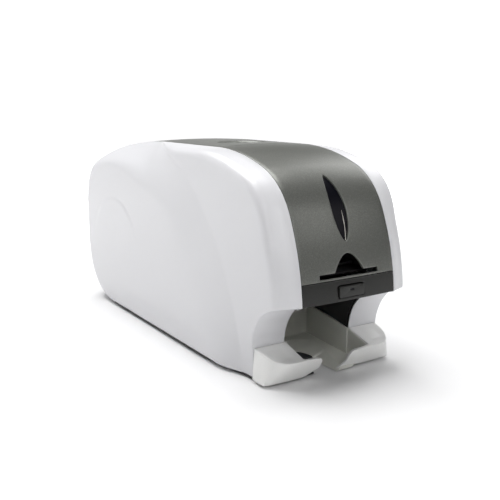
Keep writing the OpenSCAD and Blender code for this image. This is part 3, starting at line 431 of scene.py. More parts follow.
def curve(value, table):
    # smooth curve through a short table of (value, result)
    table = list(table)
    if value <= table[0][0]:
        return table[0][1]
    for i in range(len(table) - 1):
        (x0, y0), (x1, y1) = table[i], table[i + 1]
        if value <= x1:
            (xa, ya), (xb, yb) = table[max(0, i - 1)], table[min(len(table) - 1, i + 2)]
            width = x1 - x0
            startSlope = (y1 - ya) / (x1 - xa) * width if i else y1 - y0
            endSlope = (yb - y0) / (xb - x0) * width if i < len(table) - 2 else y1 - y0
            t = (value - x0) / width
            return ((2 * t ** 3 - 3 * t ** 2 + 1) * y0 + (t ** 3 - 2 * t ** 2 + t) * startSlope
                    + (3 * t ** 2 - 2 * t ** 3) * y1 + (t ** 3 - t ** 2) * endSlope)
    return table[-1][1]


def frontFace(y, z):
    return (cover["front"] - 4.5 * max(0, (-100 - y) / 114) ** 2
            - 6 * max(0, (90 - z) / 87) ** 1.5 * smooth((-60 - y) / 100))


def fenderFace(z):
    return cover["fender"] - 3 * max(0, (60 - z) / 57) ** 2


def roundUp(t):
    return math.sqrt(1 - (1 - max(0.0, min(1.0, t))) ** 2)


def ramp(t):
    # straight slope that turns softly into the flat at 1
    h = max(0.0, min(1.0, 0.5 + (1 - t) / 0.6))
    return max(0.0, min(1.0, 1 + (t - 1) * h - 0.3 * h * (1 - h)))


def softLower(a, b):
    # the lower of two values, with a soft change from one to the other
    h = max(0.0, min(1.0, 0.5 + (b - a) / 0.4))
    return b + (a - b) * h - 0.2 * h * (1 - h)


def always(value):
    return lambda y, z: value


def coverEdges():
    # two chains of (y, z, rounding, slope of the return, inner rim): front, top and rear, then arch and bottom
    outer, lower = [], []
    none, edgeRim, innerRim = always(0.0), always(shell["rim"]), always(cover["archInner"])
    topRound, rearRound = always(cover["topRound"]), always(cover["rearRound"])

    def add(chain, make, length, radius, back, rim, first=0):
        count = max(2, round(length / cover["step"]))
        for i in range(first, count + 1):
            y, z = make(i / count)
            chain.append((y, z, radius(y, z), back(y, z), rim(y, z)))

    def returnBack(y, z):
        return 1.5 + 5.5 * smooth((190 - z) / 55) if y < -60 else 1.5 * smooth((40 - y) / 60)

    def arcPart(arc, radius, back=none):
        centre, size, first, last, side = arc
        add(outer, lambda t: turned(centre, first + (last - first) * t, size, side)[0],
            arcLength(arc), radius, back, edgeRim, 1 if outer else 0)

    for arc in arcs[:3]:
        arcPart(arc, topRound, returnBack)
    add(outer, lambda t: (shell["topY"] + (shell["flatY"] - shell["topY"]) * t, shell["top"]),
        shell["flatY"] - shell["topY"], topRound, returnBack, edgeRim, 1)
    arcPart(arcs[4], topRound)
    arcPart(arcs[5], rearRound)
    add(outer, lambda t: (shell["rearY"], backCentre.y + (heelCentre.y - backCentre.y) * t),
        backCentre.y - heelCentre.y, rearRound, none, edgeRim, 1)
    arcPart((heelCentre, shell["heelR"], 90, 180, 1), lambda y, z: 5 + 9 * smooth((z - 3) / 60))
    # along the bottom, round the end of the leg, up its front and over the arch
    (legEnd, legFront), (legLow, legHigh) = cover["legY"], cover["legZ"]
    bottomRound, legRound = cover["legRound"]
    cornerR = legEnd - legFront
    add(lower, lambda t: (heelCentre.x + (legEnd - heelCentre.x) * t, shell["baseZ"]), heelCentre.x - legEnd,
        lambda y, z: 5 - 3 * smooth((-100 - y) / 60), none, edgeRim)
    add(lower, lambda t: (legEnd - cornerR * math.sin(math.radians(90 * t)),
                          legLow - cornerR * math.cos(math.radians(90 * t))),
        cornerR * math.pi / 2, always(bottomRound), none, innerRim, 1)
    add(lower, lambda t: (legFront, legLow + (legHigh - legLow) * t), legHigh - legLow, always(legRound), none,
        innerRim, 1)
    (cy, cz), (ry, rz) = cover["archCentre"], cover["archSize"]
    turn = cover["archTurn"]
    add(lower, lambda t: (cy + ry * math.cos(math.radians(turn * t)),
                          cz + rz * math.sin(math.radians(turn * t))),
        ry * math.radians(turn), always(legRound), none,
        lambda y, z: cover["archInner"] + (shell["rim"] - cover["archInner"]) * max(0, -186 - y) / 28, 1)
    return outer, lower


def chainDistance(chain):
    # distance from a point to a chain of segments, with the rounding and slope there
    tree = KDTree(len(chain))
    for i, (y, z, *rest) in enumerate(chain):
        tree.insert((y, z, 0), i)
    tree.balance()

    def measure(y, z):
        i = tree.find((y, z, 0))[1]
        best = None
        for a, b in ((i - 1, i), (i, i + 1)):
            if a < 0 or b >= len(chain):
                continue
            p, q = Vector(chain[a][:2]), Vector(chain[b][:2])
            t = max(0, min(1, (Vector((y, z)) - p).dot(q - p) / (q - p).length_squared))
            distance = (Vector((y, z)) - p - (q - p) * t).length
            if best is None or distance < best[0]:
                best = (distance, *(chain[a][k] + (chain[b][k] - chain[a][k]) * t for k in (2, 3)))
        return best

    return measure


def coverFace(y, z, toOuter, toLower):
    # half width of the outer face: a recessed front with a beaded edge, and behind a sloping band
    # a raised fender whose shoulder reaches up to the centre strip; angles are about the cover's centre
    depth, rounding, back = toOuter(y, z)
    front, fender = frontFace(y, z), fenderFace(z)
    dy, dz = y - cover["centre"][0], z - cover["centre"][1]
    angle, reach = math.degrees(math.atan2(dz, dy)), math.hypot(dy, dz)
    # width of the sloping band
    band = curve(angle, cover["band"]) if angle > 45 else 5 + 9 * smooth((z - shell["baseZ"]) / 60)
    bead = front - (front - cover["returnX"]) * (1 - roundUp(max(0, depth - back) / rounding))
    # half width at the foot of the band, then how far up the band the point is
    wide, narrow = cover["shoulder"]
    top = wide - (wide - narrow) * smooth((y + 40) / 100)
    rear = fender - band + (narrow - fender + band) * smooth((angle - 46) / 14)
    start = rear if angle < 60 else top + (front - top) * smooth((angle - 92) / 34)
    t = softLower((cover["reach"] - reach) / band if angle > 90 else 9, depth / band if angle < 150 else 9)
    rise = ramp(t) + (roundUp(t) - ramp(t)) * smooth((68 - angle) / 16)
    raised = start + (fender - start) * rise
    x = bead + (raised - bead) * (smooth((cover["reach"] + 6 - reach) / 12) if angle > 90 else 1)
    # the slightly raised shield on the rear half
    shield = cover["shield"]
    (shieldY, shieldZ), (sizeY, sizeZ) = shield["centre"], shield["size"]
    away = math.hypot((y - shieldY) / sizeY, (z - shieldZ) / sizeZ)
    step = smooth((1.05 - away) / 0.10) * smooth((z - 84) / 34) * smooth((y - 40) / 24)
    x += shield["rise"] * step * (1 - 0.5 * smooth((0.95 - away) / 0.7)) * smooth((depth - 12) / 10)
    low, lowRounding = toLower(y, z)[:2]
    return x - lowRounding * (1 - roundUp(low / lowRounding))


def buildCover(side, name, node):
    outer, lower = coverEdges()
    toOuter, toLower = chainDistance(outer), chainDistance(lower)
    loop = outer + lower[1:]
    (y0, z0), (y1, z1) = cover["spine"]
    over0, over1 = cover["spineOver"]
    # share of the way from the edge to the spine of each ring
    inward = list(cover["near"])
    far = cover["rings"] - len(inward)
    inward += [inward[-1] + (cover["nearSpine"] - inward[-1]) * i / far for i in range(1, far + 1)]
    bm = bmesh.new()
    count = len(loop)
    bmesh.ops.create_grid(bm, x_segments=count, y_segments=len(inward) + 3, size=1)
    bm.verts.ensure_lookup_table()
    for index, vert in enumerate(bm.verts):
        row, column = divmod(index, count + 1)
        y, z, rounding, back, rim = loop[column % count]
        ahead, behind = loop[(column + 1) % count], loop[(column - 1) % count if column % count else 0]
        along = Vector((ahead[0] - behind[0], ahead[1] - behind[1])).normalized()
        deep = Vector((along.y, -along.x))
        start = Vector((y, z)) + deep * back
        if row < 4:
            # the return from the rim to the rounded edge
            edgeX = max(rim + 0.6, coverFace(start.x, start.y, toOuter, toLower))
            inside, x = ((0.8, rim), (0.15, rim + 0.05), (0, rim + 0.5),
                         (back / 2, (rim + 0.5 + edgeX) / 2))[row]
            # towards the bezel the arch's inner edge hangs a little lower
            hang = 2.6 * smooth((-184 - y) / 8) * smooth((y + 214) / 9) * smooth((78 - z) / 2) * (1 - row / 4)
            vert.co = (min(x, edgeX), y + deep.x * inside, z + deep.y * inside - hang)
            continue
        w = inward[row - 4]
        spineY = max(y0, min(y1, y0 + (y1 - y0) * (start.x - over0) / (over1 - over0)))
        spineZ = z0 + (z1 - z0) * (spineY - y0) / (y1 - y0)
        py, pz = start.x + (spineY - start.x) * w, start.y + (spineZ - start.y) * w
        vert.co = (max(rim + 0.6, coverFace(py, pz, toOuter, toLower)), py, pz)
    bmesh.ops.remove_doubles(bm, verts=bm.verts, dist=0.01)
    # the last ring is a narrow hole along the spine
    spine = [e for e in bm.edges if e.is_boundary and all(
        abs(v.co.z - (z0 + z1) / 2) < 12 and abs(v.co.y - (y0 + y1) / 2) < 110 for v in e.verts)]
    bmesh.ops.holes_fill(bm, edges=spine, sides=0)
    bmesh.ops.triangulate(bm, faces=[f for f in bm.faces if len(f.verts) > 4])
    bmesh.ops.recalc_face_normals(bm, faces=bm.faces)
    fenderSpot = Vector((87, 60, 80))
    if min(bm.faces, key=lambda f: (f.calc_center_median() - fenderSpot).length).normal.x < 0:
        bmesh.ops.reverse_faces(bm, faces=bm.faces)
    if side < 0:
        bmesh.ops.scale(bm, vec=(-1, 1, 1), verts=bm.verts)
        bmesh.ops.reverse_faces(bm, faces=bm.faces)
    piece = finishPiece(bm, name, node, sharp=50)
    skin = piece.modifiers.new("wall", "SOLIDIFY")
    skin.thickness = cover["wall"] / 1000
    skin.offset = -1
    return piece


buildCover(1, "rightSideCover", "right_cover")
buildCover(-1, "leftSideCover", "left_cover")
print("side covers built")

# centre strip

slot = {"half": 33, "low": 98.7, "high": 102.7, "notchHalf": 16.3, "notchHigh": 15.6}
window = {"z": 155.4, "halfHigh": 27.2, "halfWide": 8.0, "blunt": 0.66, "low": 129, "high": 184, "deep": 1.75}
# the light strip on the window's inner pane is a painted highlight, not a real part
paintedHighlight = {"first": -0.04, "long": 0.92, "count": 24, "wide": 0.24, "place": 0.42, "deep": 1.25, "high": 156}


def slotOutline():
    points = [(-slot["half"], slot["low"]), (-slot["half"], slot["high"]), (-slot["notchHalf"], slot["high"])]
    points += [(x, slot["high"] + slot["notchHigh"] * (1 - (x / slot["notchHalf"]) ** 2))
               for x in (slot["notchHalf"] * i / 12 for i in range(-11, 12))]
    points += [(slot["notchHalf"], slot["high"]), (slot["half"], slot["high"]), (slot["half"], slot["low"])]
    return [(x, pathOfZ(z)) for x, z in points]


def eyeOutline(shrink=0.0, count=30):
    # oval of two arcs that meet in blunt ends
    high, wide = window["halfHigh"] - shrink, window["halfWide"] - shrink
    points = []
    for i in range(2 * count):
        a = math.pi * (i + 0.5) / count
        t = math.cos(a)
        x = wide * (1 - abs(t) ** 2) ** window["blunt"]
        points.append((math.copysign(x, math.sin(a)), pathOfZ(window["z"] + high * t)))
    return points


def buildDoor():
    low, high = pathOfZ(shell["bezelTop"] + shell["doorGap"]), pathOfY(shell["lidY"])
    half = shell["stripHalf"]
    bm = plate([rectangle(-half, half, low, high), slotOutline(), eyeOutline()], shell["wall"], 0.55)
    cutAcross(bm, 1, spread(low, high, 2.0))
    cutAcross(bm, 0, spread(-half, half, 5.0))
    wrap(bm)
    return finishPiece(bm, "hopperDoor", "door_panel")


def buildLens():
    bm = plate([eyeOutline(0.02)], 0.8, 0.0)
    top = [f for f in bm.faces if f.normal.z > 0.9]
    insetFaces(bm, top, 1.0)
    insetFaces(bm, top, 0.35, 0.35)
    cutAcross(bm, 1, spread(pathOfZ(window["low"]), pathOfZ(window["high"]), 2.5))
    bmesh.ops.translate(bm, vec=(0, 0, -window["deep"]), verts=bm.verts)
    wrap(bm)
    return finishPiece(bm, "levelWindow", "window_lens", sharp=12)


def buildPaintedHighlight():
    # thin light-coloured strip along the lower right edge of the window's inner pane: a painted highlight
    # standing in for the glint on the pane's edge
    line = []
    for i in range(paintedHighlight["count"] + 1):
        t = paintedHighlight["first"] - paintedHighlight["long"] * i / paintedHighlight["count"]
        wide = paintedHighlight["wide"] * math.sin(math.pi * min(1, (i + 0.6) / 9) / 2)
        x = paintedHighlight["place"] * window["halfWide"] * (1 - t * t) ** window["blunt"]
        line.append((x, pathOfZ(window["z"] + t * window["halfHigh"]), wide))
    outline = [(x - w, s) for x, s, w in line] + [(x + w, s) for x, s, w in reversed(line)]
    bm = plate([outline], 0.5, 0.0)
    cutAcross(bm, 1, spread(pathOfZ(window["low"]), pathOfZ(paintedHighlight["high"]), 2.5))
    bmesh.ops.translate(bm, vec=(0, 0, -paintedHighlight["deep"]), verts=bm.verts)
    wrap(bm)
    return finishPiece(bm, "windowPaintedHighlight", slot="nylon", body="door")


dish = {"y": -33, "halfX": 28, "halfY": 21, "deep": 2.0, "soft": 0.16, "fineX": 33, "fineY": 30}
release = {"y": -52, "radius": 8.0, "gap": 0.4, "sides": 48}


def buildLid():
    low, high = pathOfY(shell["lidY"]) + shell["lidGap"], pathOfY(shell["lidEnd"])
    half = shell["stripHalf"]
    centre, radius = pathOfY(release["y"]), release["radius"] + release["gap"]
    hole = [(radius * math.cos(a), centre + radius * math.sin(a))
            for a in (math.tau * i / release["sides"] for i in range(release["sides"]))]
    bm = plate([rectangle(-half, half, low, high), hole], shell["wall"], 0.5)
    middle = pathOfY(dish["y"])
    # finer cuts around the dish
    dishLow, dishHigh, dishX = middle - dish["fineY"], middle + dish["fineY"], dish["fineX"]
    cutAcross(bm, 1, spread(low, dishLow, 6.0) + spread(dishLow, dishHigh, 1.5) + spread(dishHigh, high, 5.0))
    cutAcross(bm, 0, spread(-half, 1 - dishX, 5.0) + spread(-dishX, dishX, 1.5) + spread(dishX - 1, half, 5.0))

    def sink(x, s):
        away = math.hypot(x / dish["halfX"], (s - middle) / dish["halfY"])
        return dish["deep"] * smooth((1 - away) / dish["soft"])

    wrap(bm, sink)
    return finishPiece(bm, "topLid", "top_lid", sharp=30)


rearCover = {
    "startY": 158.5, "endAngle": 42, "pin": (148.144, 189.367), "pinR": 3.2, "earX": (44.4, 52.1),
    # lower and upper corner of each block of a hinge ear, from the pin
    "ear": (((-2.6, -13), (2.6, 0)), ((-2.6, -13), (18, -9.4)), ((13, -13), (18, -2))),
}


def buildRearCover():
    low = pathOfY(rearCover["startY"])
    last = math.radians(rearCover["endAngle"] - shell["backA"])
    high = sum(arcLength(arc) for arc in arcs[:5]) + shell["backR"] * last
    half = shell["stripHalf"]
    bm = plate([rectangle(-half, half, low, high)], shell["wall"], 0.5)
    cutAcross(bm, 1, spread(low, high, 2.0))
    cutAcross(bm, 0, spread(-half, half, 6.0))
    wrap(bm)
    pinY, pinZ = rearCover["pin"]
    for side in (-1, 1):
        x0, x1 = sorted(side * x for x in rearCover["earX"])
        rod(bm, rearCover["pin"], rearCover["pinR"], x0, x1)
        for (lowY, lowZ), (highY, highZ) in rearCover["ear"]:
            block(bm, (x0, pinY + lowY, pinZ + lowZ), (x1, pinY + highY, pinZ + highZ))
    return finishPiece(bm, "rearTopCover", "rear_top_cover")


button = {
    "z": 86, "wide": 28, "high": 10.2, "deep": 6, "corner": 1.6, "edge": 0.45, "swell": 0.05, "face": -216,
    "gap": 0.55, "led": (4.4, 1.4), "ledZ": 87.6, "ledGap": 0.05,
    "stem": {"radius": 1.6, "long": 2.6, "back": 7.1},
}
bezel = {
    "corner": 0.5, "holeCorner": 1.9, "fine": 8, "doorPin": (-205.2, 99), "pinR": 2.9, "clear": 0.35,
    "ledge": ((-211.0, 77.6), (-198.7, 79.4)), "ledgeEnd": 0.4, "earX": (44.4, 51.7),
    # across, then the lower and upper corner of each block of a hinge ear
    "ear": (((44.4, 51.7), (-204.0, 92), (-198.9, 100.5)), ((44.4, 51.7), (-202.2, 78), (-198.9, 93)),
            ((50.1, 51.7), (-210.4, 78), (-199, 89))),
}


def buildBezel():
    low, high = 0.0, pathOfZ(shell["bezelTop"])
    half = shell["stripHalf"]
    holeX, holeUp = button["wide"] / 2 + button["gap"], button["high"] / 2 + button["gap"]
    hole = rectangle(-holeX, holeX, pathOfZ(button["z"] - holeUp), pathOfZ(button["z"] + holeUp),
                     bezel["holeCorner"])
    bm = plate([rectangle(-half, half, low, high, bezel["corner"]), hole], shell["wall"], 0.5)
    lipStart = high - bezel["fine"]
    cutAcross(bm, 1, spread(low, lipStart, 2.5) + spread(lipStart, high, 1.0))
    cutAcross(bm, 0, spread(-half, half, 5.0))
    wrap(bm)
    # the inner top edge keeps clear of the turning door
    pin = Vector(bezel["doorPin"])
    lip, outward = pathAt(pathOfZ(shell["bezelTop"] + shell["doorGap"]))
    for vert in bm.verts:
        away = Vector(vert.co[1:]) - pin
        reach = (lip + outward * lift(vert.co.x) - pin).length + bezel["clear"]
        if away.length < reach:
            vert.co[1:] = pin + away * (reach / away.length)
    ledgeX = half - bezel["ledgeEnd"]
    block(bm, (-ledgeX, *bezel["ledge"][0]), (ledgeX, *bezel["ledge"][1]))
    for side in (-1, 1):
        rod(bm, bezel["doorPin"], bezel["pinR"], *sorted(side * x for x in bezel["earX"]))
        for across, lower, upper in bezel["ear"]:
            x0, x1 = sorted(side * x for x in across)
            block(bm, (x0, *lower), (x1, *upper))
    return finishPiece(bm, "frontBezel", "front_bezel")


def buildButton():
    half, up = button["wide"] / 2, button["high"] / 2
    (ledWide, ledHigh), ledGap, ledZ = button["led"], button["ledGap"], button["ledZ"]
    led = rectangle(-ledWide / 2 - ledGap, ledWide / 2 + ledGap, ledZ - ledHigh / 2 - ledGap,
                    ledZ + ledHigh / 2 + ledGap, 0.3, 2)
    face = rectangle(-half, half, button["z"] - up, button["z"] + up, button["corner"], 6)
    bm = plate([face, led], button["deep"], button["edge"])
    for vert in bm.verts:
        x, z, h = vert.co
        vert.co = (x, button["face"] - h + button["swell"] * (x / half) ** 2, z)
    bmesh.ops.reverse_faces(bm, faces=bm.faces)
    bmesh.ops.recalc_face_normals(bm, faces=bm.faces)
    radius, long = button["stem"]["radius"], button["stem"]["long"]
    stem = bmesh.ops.create_cone(bm, cap_ends=True, segments=24, radius1=radius, radius2=radius,
                                 depth=long)["verts"]
    bmesh.ops.rotate(bm, matrix=Euler((math.pi / 2, 0, 0)).to_matrix(), verts=stem)
    bmesh.ops.translate(bm, vec=(0, button["face"] + button["stem"]["back"], button["z"]), verts=stem)
    return finishPiece(bm, "functionButton", "function_button")


buildDoor()
buildLens()
buildPaintedHighlight()
buildLid()
buildRearCover()
buildBezel()
buildButton()
print("centre strip built")


# output tray and its feet

tray = {
    "half": 37.5, "rear": -103, "front": -190, "floor": ((-190, 4.9), (-102, 10.3)), "columns": 40, "rows": 64,
    # half widths of the bowl's rim and of the finger hole, right and left
    "rim": {1: ((-190, 11.2), (-183, 13), (-160, 20.2), (-139, 26), (-127, 28)),
            -1: ((-190, 30.5), (-170, 29.6), (-139, 28.5), (-127, 28))},
    "gap": {1: ((-190, 6.8), (-170, 6.6), (-158, 7.6), (-149, 8.4)), -1: ((-190, 27), (-165, 22), (-149, 12))},
    # start, end and power of the oval that closes each at the rear
    "rimEnd": (-127, -111.5, 2.4), "gapEnd": (-149, -131, 2),
    "bowlShare": 0.55, "bowlPower": 1.15, "low": 1.0, "high": 3.2, "highFrom": -152,
    "frontX": {1: ((0, -190), (29, -189.6), (33, -185), (38, -185)), -1: ((0, -184), (38, -184))},
    "straightFrom": -176, "plate": 1.4, "under": 3.3, "thin": 0.5, "thinBelow": 3.4,
    "lip": {"x": (8, 27), "y": -188, "under": 1.3},
    # outline of each side wall in (y, z), with the place of its inner face
    "wallX": 37.8,
    "walls": ((((-168.4, 5.5), (-168.4, 31.9), (-144, 36.4), (-122, 39.6), (-103, 42), (-103, 9)), 35.9),
              (((-184.5, 4.4), (-195.4, 23.1), (-180, 28.5), (-168.42, 31.9), (-168.42, 5.5)), 37.0)),
    "rearWall": ((-37.5, -104, 7), (37.5, -102.2, 42)),
}


def straight(value, table):
    for (a, low), (b, high) in zip(table, table[1:]):
        if value <= b:
            return low + (high - low) * max(0, min(1, (value - a) / (b - a)))
    return table[-1][1]


def ovalEnd(y, half, start, end, power):
    return half * max(0.0, 1 - max(0.0, (y - start) / (end - start)) ** power) ** (1 / power)


def trayPoint(side, u, y):
    # a point of a shelf, from the finger hole's edge at u = 0 over the bowl's rim to the side wall at 1
    rim = max(0.01, ovalEnd(y, straight(y, tray["rim"][side]), *tray["rimEnd"]))
    gap = ovalEnd(y, min(straight(y, tray["gap"][side]), rim), *tray["gapEnd"])
    rimRear, gapRear = tray["rimEnd"][1], tray["gapEnd"][1]
    p = u / tray["bowlShare"]
    x = gap + (rim - gap) * p if p < 1 else rim + (tray["half"] - rim) * (p - 1) / (1 / tray["bowlShare"] - 1)
    across = (x - gap) / max(0.5, rim - gap)
    p = min(1.0, math.hypot(across, max(0.0, (y - gapRear) / (rimRear - gapRear))))
    low = tray["low"] + (tray["high"] - tray["low"]) * smooth((y - tray["highFrom"]) / 2)
    z = low + (straight(y, tray["floor"]) - low) * p ** tray["bowlPower"]
    cutBack = max(0.0, straight(x, tray["frontX"][side]) - tray["front"])
    y += cutBack * smooth((tray["straightFrom"] - y) / (tray["straightFrom"] - tray["front"]))
    return side * x, y, z


def trayUnder(x, y, z):
    # how far the underside lies below the edge
    lip = tray["lip"]
    if z < tray["thinBelow"]:
        return tray["thin"]
    if lip["x"][0] < x < lip["x"][1] and y < lip["y"]:
        return max(tray["plate"], z - lip["under"])
    return min(tray["plate"], z - tray["under"])


def buildTray():
    # two sloping shelves around a funnel-shaped finger hole, open at the bottom and wider on the left
    bm = bmesh.new()
    columns, rows = tray["columns"], tray["rows"]
    for side in (-1, 1):
        made = bmesh.ops.create_grid(bm, x_segments=columns, y_segments=rows, size=1)["verts"]
        for index, vert in enumerate(made):
            row, column = divmod(index, columns + 1)
            y = tray["front"] + (tray["rear"] - tray["front"]) * row / rows
            vert.co = trayPoint(side, column / columns, y)
        if side < 0:
            bmesh.ops.reverse_faces(bm, faces=list({face for vert in made for face in vert.link_faces}))
    bmesh.ops.remove_doubles(bm, verts=bm.verts, dist=0.02)
    bmesh.ops.dissolve_degenerate(bm, edges=bm.edges, dist=0.02)
    edges = [e for e in bm.edges if e.is_boundary]
    skirt = bmesh.ops.extrude_edge_only(bm, edges=edges)["geom"]
    for vert in (g for g in skirt if isinstance(g, bmesh.types.BMVert)):
        vert.co.z -= trayUnder(*vert.co)
    for side in (-1, 1):
        for outline, inner in tray["walls"]:
            wall = plate([outline], tray["wallX"] - inner, 0.3)
            cutAcross(wall, 0, spread(-198, -103, 4.0))
            for vert in wall.verts:
                y, z, h = vert.co
                vert.co = (side * (inner - h), y, z)
            bmesh.ops.recalc_face_normals(wall, faces=wall.faces)
            mesh = bpy.data.meshes.new("trayWall")
            wall.to_mesh(mesh)
            wall.free()
            bm.from_mesh(mesh)
            bpy.data.meshes.remove(mesh)
    block(bm, *tray["rearWall"])
    return finishPiece(bm, "outputTray", "output_tray", sharp=30)


foot = {
    "low": 3.0, "wall": 2.4, "tip": -16.4, "inner": -38.0, "rear": -168.4, "crookY": -196.8,
    "tipEnd": (-36.5, -197.9), "rounding": 0.8, "insets": (0.08, 0.2, 0.3, 0.35),
    "plan": ((-71.8, -168.4), (-71.7, -173), (-71.0, -179), (-69.2, -185.4), (-66.2, -191), (-61.8, -196),
             (-56.4, -199.3), (-50, -200.6), (-44, -200.7), (-38, -200.5), (-30, -200.2), (-22, -199.8),
             (-16.4, -199.4)),
    "topZ": ((-200.5, 23.8), (-190, 26.6), (-180, 29.2), (-168, 32.4)), "dish": 1.4, "lipDrop": 1.5,
    # how far the walls stand in at the bottom: sideways, at the outer corner, and backwards
    "leanX": 8.5, "cornerX": 2.0, "leanY": 11.4, "cornerY": 1.8, "outer": -74.2,
    # the free end: where it starts to run out and by how much, and its rounded top
    "runFrom": 11.4, "runOut": {1: 9, -1: -14}, "roundFrom": 22.6, "roundHigh": 6, "roundX": 7,
}


def footPlan(step):
    # the outer line seen from above, on a smooth curve through its points
    dense = []
    line = [Vector(p) for p in foot["plan"]]
    for i in range(len(line) - 1):
        a, b, c, d = line[max(0, i - 1)], line[i], line[i + 1], line[min(len(line) - 1, i + 2)]
        parts = max(1, round((c - b).length / step))
        for k in range(parts):
            t = k / parts
            dense.append(0.5 * ((2 * b) + (c - a) * t + (2 * a - 5 * b + 4 * c - d) * t ** 2
                                + (3 * b - a - 3 * c + d) * t ** 3))
    return dense + [line[-1]]


def footShape(side, x, y, h):
    # from the straight extrusion of the plan, 0 to 1 high, to the leaning and dished foot
    inside = smooth((-41 - x) / 9) * smooth((x + 70) / 9) * smooth((y + 198) / 9) * smooth((-170 - y) / 5)
    inner, tip = foot["inner"], foot["tip"]
    lip = max(0.0, x - inner)
    top = straight(y, foot["topZ"]) - foot["lipDrop"] * smooth(lip / 18)
    z = foot["low"] + (top - foot["low"]) * h - foot["dish"] * inside * smooth((h - 0.8) / 0.2)
    # the walls stand further in at the bottom, less so at the outer corner
    lean = (1 - h) * (foot["rear"] - y) / 32
    bottomX = (x - foot["leanX"] * smooth((-42 - x) / 18) * smooth((-174 - y) / 18)
               - foot["cornerX"] * smooth((-60 - x) / 8))
    leanX = x + (max(bottomX, foot["outer"]) - x) * (1 - h)
    y += (foot["leanY"] - foot["cornerY"] * smooth((-54 - x) / 8) * smooth((x + 75) / 6)) * lean
    if lip > 0:
        # the free end is round, seen from the front
        low = max(0.0, (foot["runFrom"] - z) / (foot["runFrom"] - foot["low"]))
        high = (foot["roundFrom"] - z) / foot["roundHigh"]
        end = tip + foot["runOut"][side] * low ** 1.2 - foot["roundX"] * (1 - roundUp(high))
        leanX = inner + lip * (end - inner) / (tip - inner)
    return leanX, y, z


def buildFoot(side, name, node):
    outer = footPlan(1.4)
    # back along the free end, then along the inner side and the rear
    innerX, rearY, crookY = foot["inner"], foot["rear"], foot["crookY"]
    tipBack = Vector((foot["tip"], outer[-1].y + foot["wall"]))
    back = [tipBack + (Vector(foot["tipEnd"]) - tipBack) * (i / 14) for i in range(15)]
    inner = [Vector((innerX, crookY + (rearY - crookY) * i / 14)) for i in range(15)]
    rear = [Vector((innerX - (innerX - foot["plan"][0][0]) * i / 16, rearY)) for i in range(1, 16)]
    outline = [tuple(p) for p in outer + back + inner + rear]
    bm = plate([outline], 1.0, 0.0)
    top = [f for f in bm.faces if f.normal.z > 0.9]
    for inset in foot["insets"]:
        insetFaces(bm, top, inset)
    cutAcross(bm, 0, spread(-73, innerX, 2.2) + spread(innerX, -16, 1.6))
    cutAcross(bm, 1, spread(-201, rearY, 2.2))
    cutAcross(bm, 2, [-0.97, -0.93, -0.87] + spread(-0.87, -0.12, 0.07) + [-0.12, -0.07, -0.035])
    edge = foot["rounding"]
    toEdge = chainDistance([(*p, 0, 0) for p in outline + outline[:1]])
    for vert in bm.verts:
        x, y, h = vert.co
        h += 1  # the plate is 1 high, with its top at 0
        away = toEdge(x, y)[0]
        px, py, pz = footShape(side, x, y, h)
        if h > 0.999 and away < edge:
            pz -= edge * (1 - roundUp(away / edge)) * 0.9
        vert.co = (px, py, pz)
    bmesh.ops.recalc_face_normals(bm, faces=bm.faces)
    if side > 0:
        bmesh.ops.scale(bm, vec=(-1, 1, 1), verts=bm.verts)
        bmesh.ops.reverse_faces(bm, faces=bm.faces)
    return finishPiece(bm, name, node)


buildTray()
buildFoot(1, "rightTrayFoot", "right_tray_foot")
buildFoot(-1, "leftTrayFoot", "left_tray_foot")
print("tray and feet built")

# softened copies of plain CAD solids, with small rounded edges

softEdges = {"rear_panel": 0.5, "release_button": 0.4, "rubber_feet": 0.4, "card_weight": 0.5,
             "hopper_bin": 0.4, "base_plate": 0.3, "power_rocker": 0.3, "switch_housing": 0.3}


def soften(node, width):
    bm = bmesh.new()
    bm.from_mesh(nodes[node].data)
    bmesh.ops.remove_doubles(bm, verts=bm.verts, dist=0.000002)
    bmesh.ops.scale(bm, vec=(1000, 1000, 1000), verts=bm.verts)
    bmesh.ops.dissolve_limit(bm, angle_limit=math.radians(0.6), verts=bm.verts, edges=bm.edges)
    edges = [e for e in bm.edges if len(e.link_faces) == 2 and e.calc_face_angle(0) > math.radians(40)]
    bmesh.ops.bevel(bm, geom=edges, offset=width, offset_type="OFFSET", affect="EDGES", segments=2, profile=0.5,
                    material=-1, clamp_overlap=True)
    return finishPiece(bm, "soft_" + node, node)


for node, width in softEdges.items():
    soften(node, width)
print("softened copies:", len(softEdges))

# studio

studio = {
    "floor": {"size": 6.0, "colour": (0.86, 0.86, 0.865), "roughness": 0.6, "glow": (0.45, 1.3)},
    "backdrop": 1.2, "horizon": 1.16, "towards": (0.5, 0.86, 0.0), "soft": (0.2, 0.8), "height": (0.34, 0.1),
    # place, aim, size and power of each area light
    "lamps": {
        "overhead": ((-0.1, 0.35, 1.5), (0, 0, 0.1), (1.3, 1.3), 35),
        "softbox": ((1.03, 0.33, 0.90), (0.02, 0, 0.15), (0.7, 0.7), 3.18),
        "frontFill": ((0.5, -0.85, 0.62), (0, -0.15, 0.1), (0.35, 0.4), 0.7),
        "frontTop": ((-0.25, -1.05, 0.72), (0, -0.15, 0.05), (0.8, 0.5), 3.5),
        "left": ((-0.9, 0.75, 0.45), (0, 0.12, 0.12), (0.6, 0.5), 1.8),
    },
    "camera": {"place": (-0.39847, -0.67028, 0.24729), "down": 11.792, "turned": -32.696, "lens": 50.65},
}


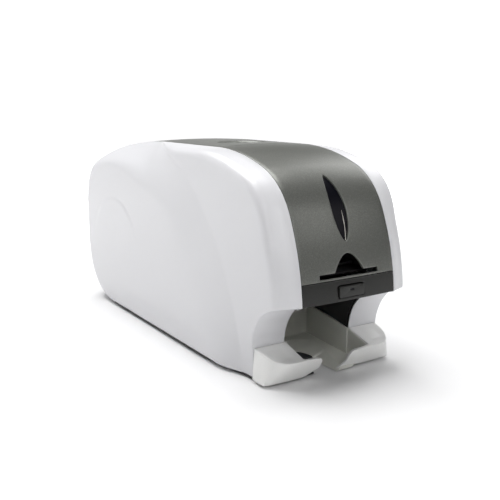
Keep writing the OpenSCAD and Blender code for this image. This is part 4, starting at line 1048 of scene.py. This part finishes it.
def buildFloor(name, size, colour, roughness, glow):
    bm = bmesh.new()
    bmesh.ops.create_grid(bm, x_segments=1, y_segments=1, size=size)
    mesh = bpy.data.meshes.new(name)
    bm.to_mesh(mesh)
    bm.free()
    ground = bpy.data.objects.new(name, mesh)
    bpy.context.scene.collection.objects.link(ground)
    finish = Finish(name + "Finish", Specular_IOR_Level=0.25)
    finish.put("Base_Color", finish.blend(finish.noise(3.0), colour, [min(1, c * 1.02) for c in colour]))
    finish.put("Roughness", roughness + finish.noise(5.0) * 0.05)
    # the sweep glows white away from the object, like a lit backdrop
    away = finish.node("ShaderNodeVectorMath", {"operation": "LENGTH"}, "Value", Vector=finish.place)
    finish.put("Emission_Color", finish.blend(away.ramp(*glow), (0, 0, 0), (1, 1, 1)))
    finish.put("Emission_Strength", 1.0)
    mesh.materials.append(finish.material)


def areaLight(name, place, aim, size, power):
    light = bpy.data.lights.new(name, "AREA")
    light.shape = "RECTANGLE"
    light.size, light.size_y = size
    light.energy = power
    lamp = bpy.data.objects.new(name, light)
    lamp.location = place
    lamp.rotation_euler = (Vector(aim) - Vector(place)).to_track_quat("-Z", "Y").to_euler()
    bpy.context.scene.collection.objects.link(lamp)


def skyNode(kind, operation, *values, out=0):
    node = sky.nodes.new(kind)
    if operation:
        node.operation = operation
    for slot, value in zip(node.inputs, values):
        feed(sky, slot, value)
    return Sock(sky, node.outputs[out])


buildFloor("floor", **studio["floor"])
world = bpy.data.worlds.new("studio")
world.use_nodes = True
sky = world.node_tree
direction = skyNode("ShaderNodeTexCoord", None)
towards = skyNode("ShaderNodeVectorMath", "DOT_PRODUCT", direction, studio["towards"], out=1)
height = skyNode("ShaderNodeVectorMath", "DOT_PRODUCT", direction, (0, 0, 1), out=1)
turn = towards.ramp(*studio["soft"])
band = height.ramp(*studio["height"])
# a soft glow low on the far side, and a backdrop that only the camera sees
glow = turn * turn * (3 - 2 * turn) * band * band * studio["horizon"]
seen = skyNode("ShaderNodeLightPath", None)
feed(sky, sky.nodes["Background"].inputs["Strength"], glow + seen * studio["backdrop"])
feed(sky, sky.nodes["Background"].inputs["Color"], (1, 1, 1))
bpy.context.scene.world = world
for name, (place, aim, size, power) in studio["lamps"].items():
    areaLight(name, place, aim, size, power)

shot = studio["camera"]
view = bpy.data.cameras.new("camera")
view.lens = shot["lens"]
view.sensor_width = 36
view.clip_start = 0.02
camera = bpy.data.objects.new("camera", view)
camera.location = shot["place"]
camera.rotation_euler = (math.radians(90 - shot["down"]), 0, math.radians(shot["turned"]))
bpy.context.scene.collection.objects.link(camera)
bpy.context.scene.camera = camera
bpy.context.scene.view_settings.view_transform = "Standard"
print("studio ready")
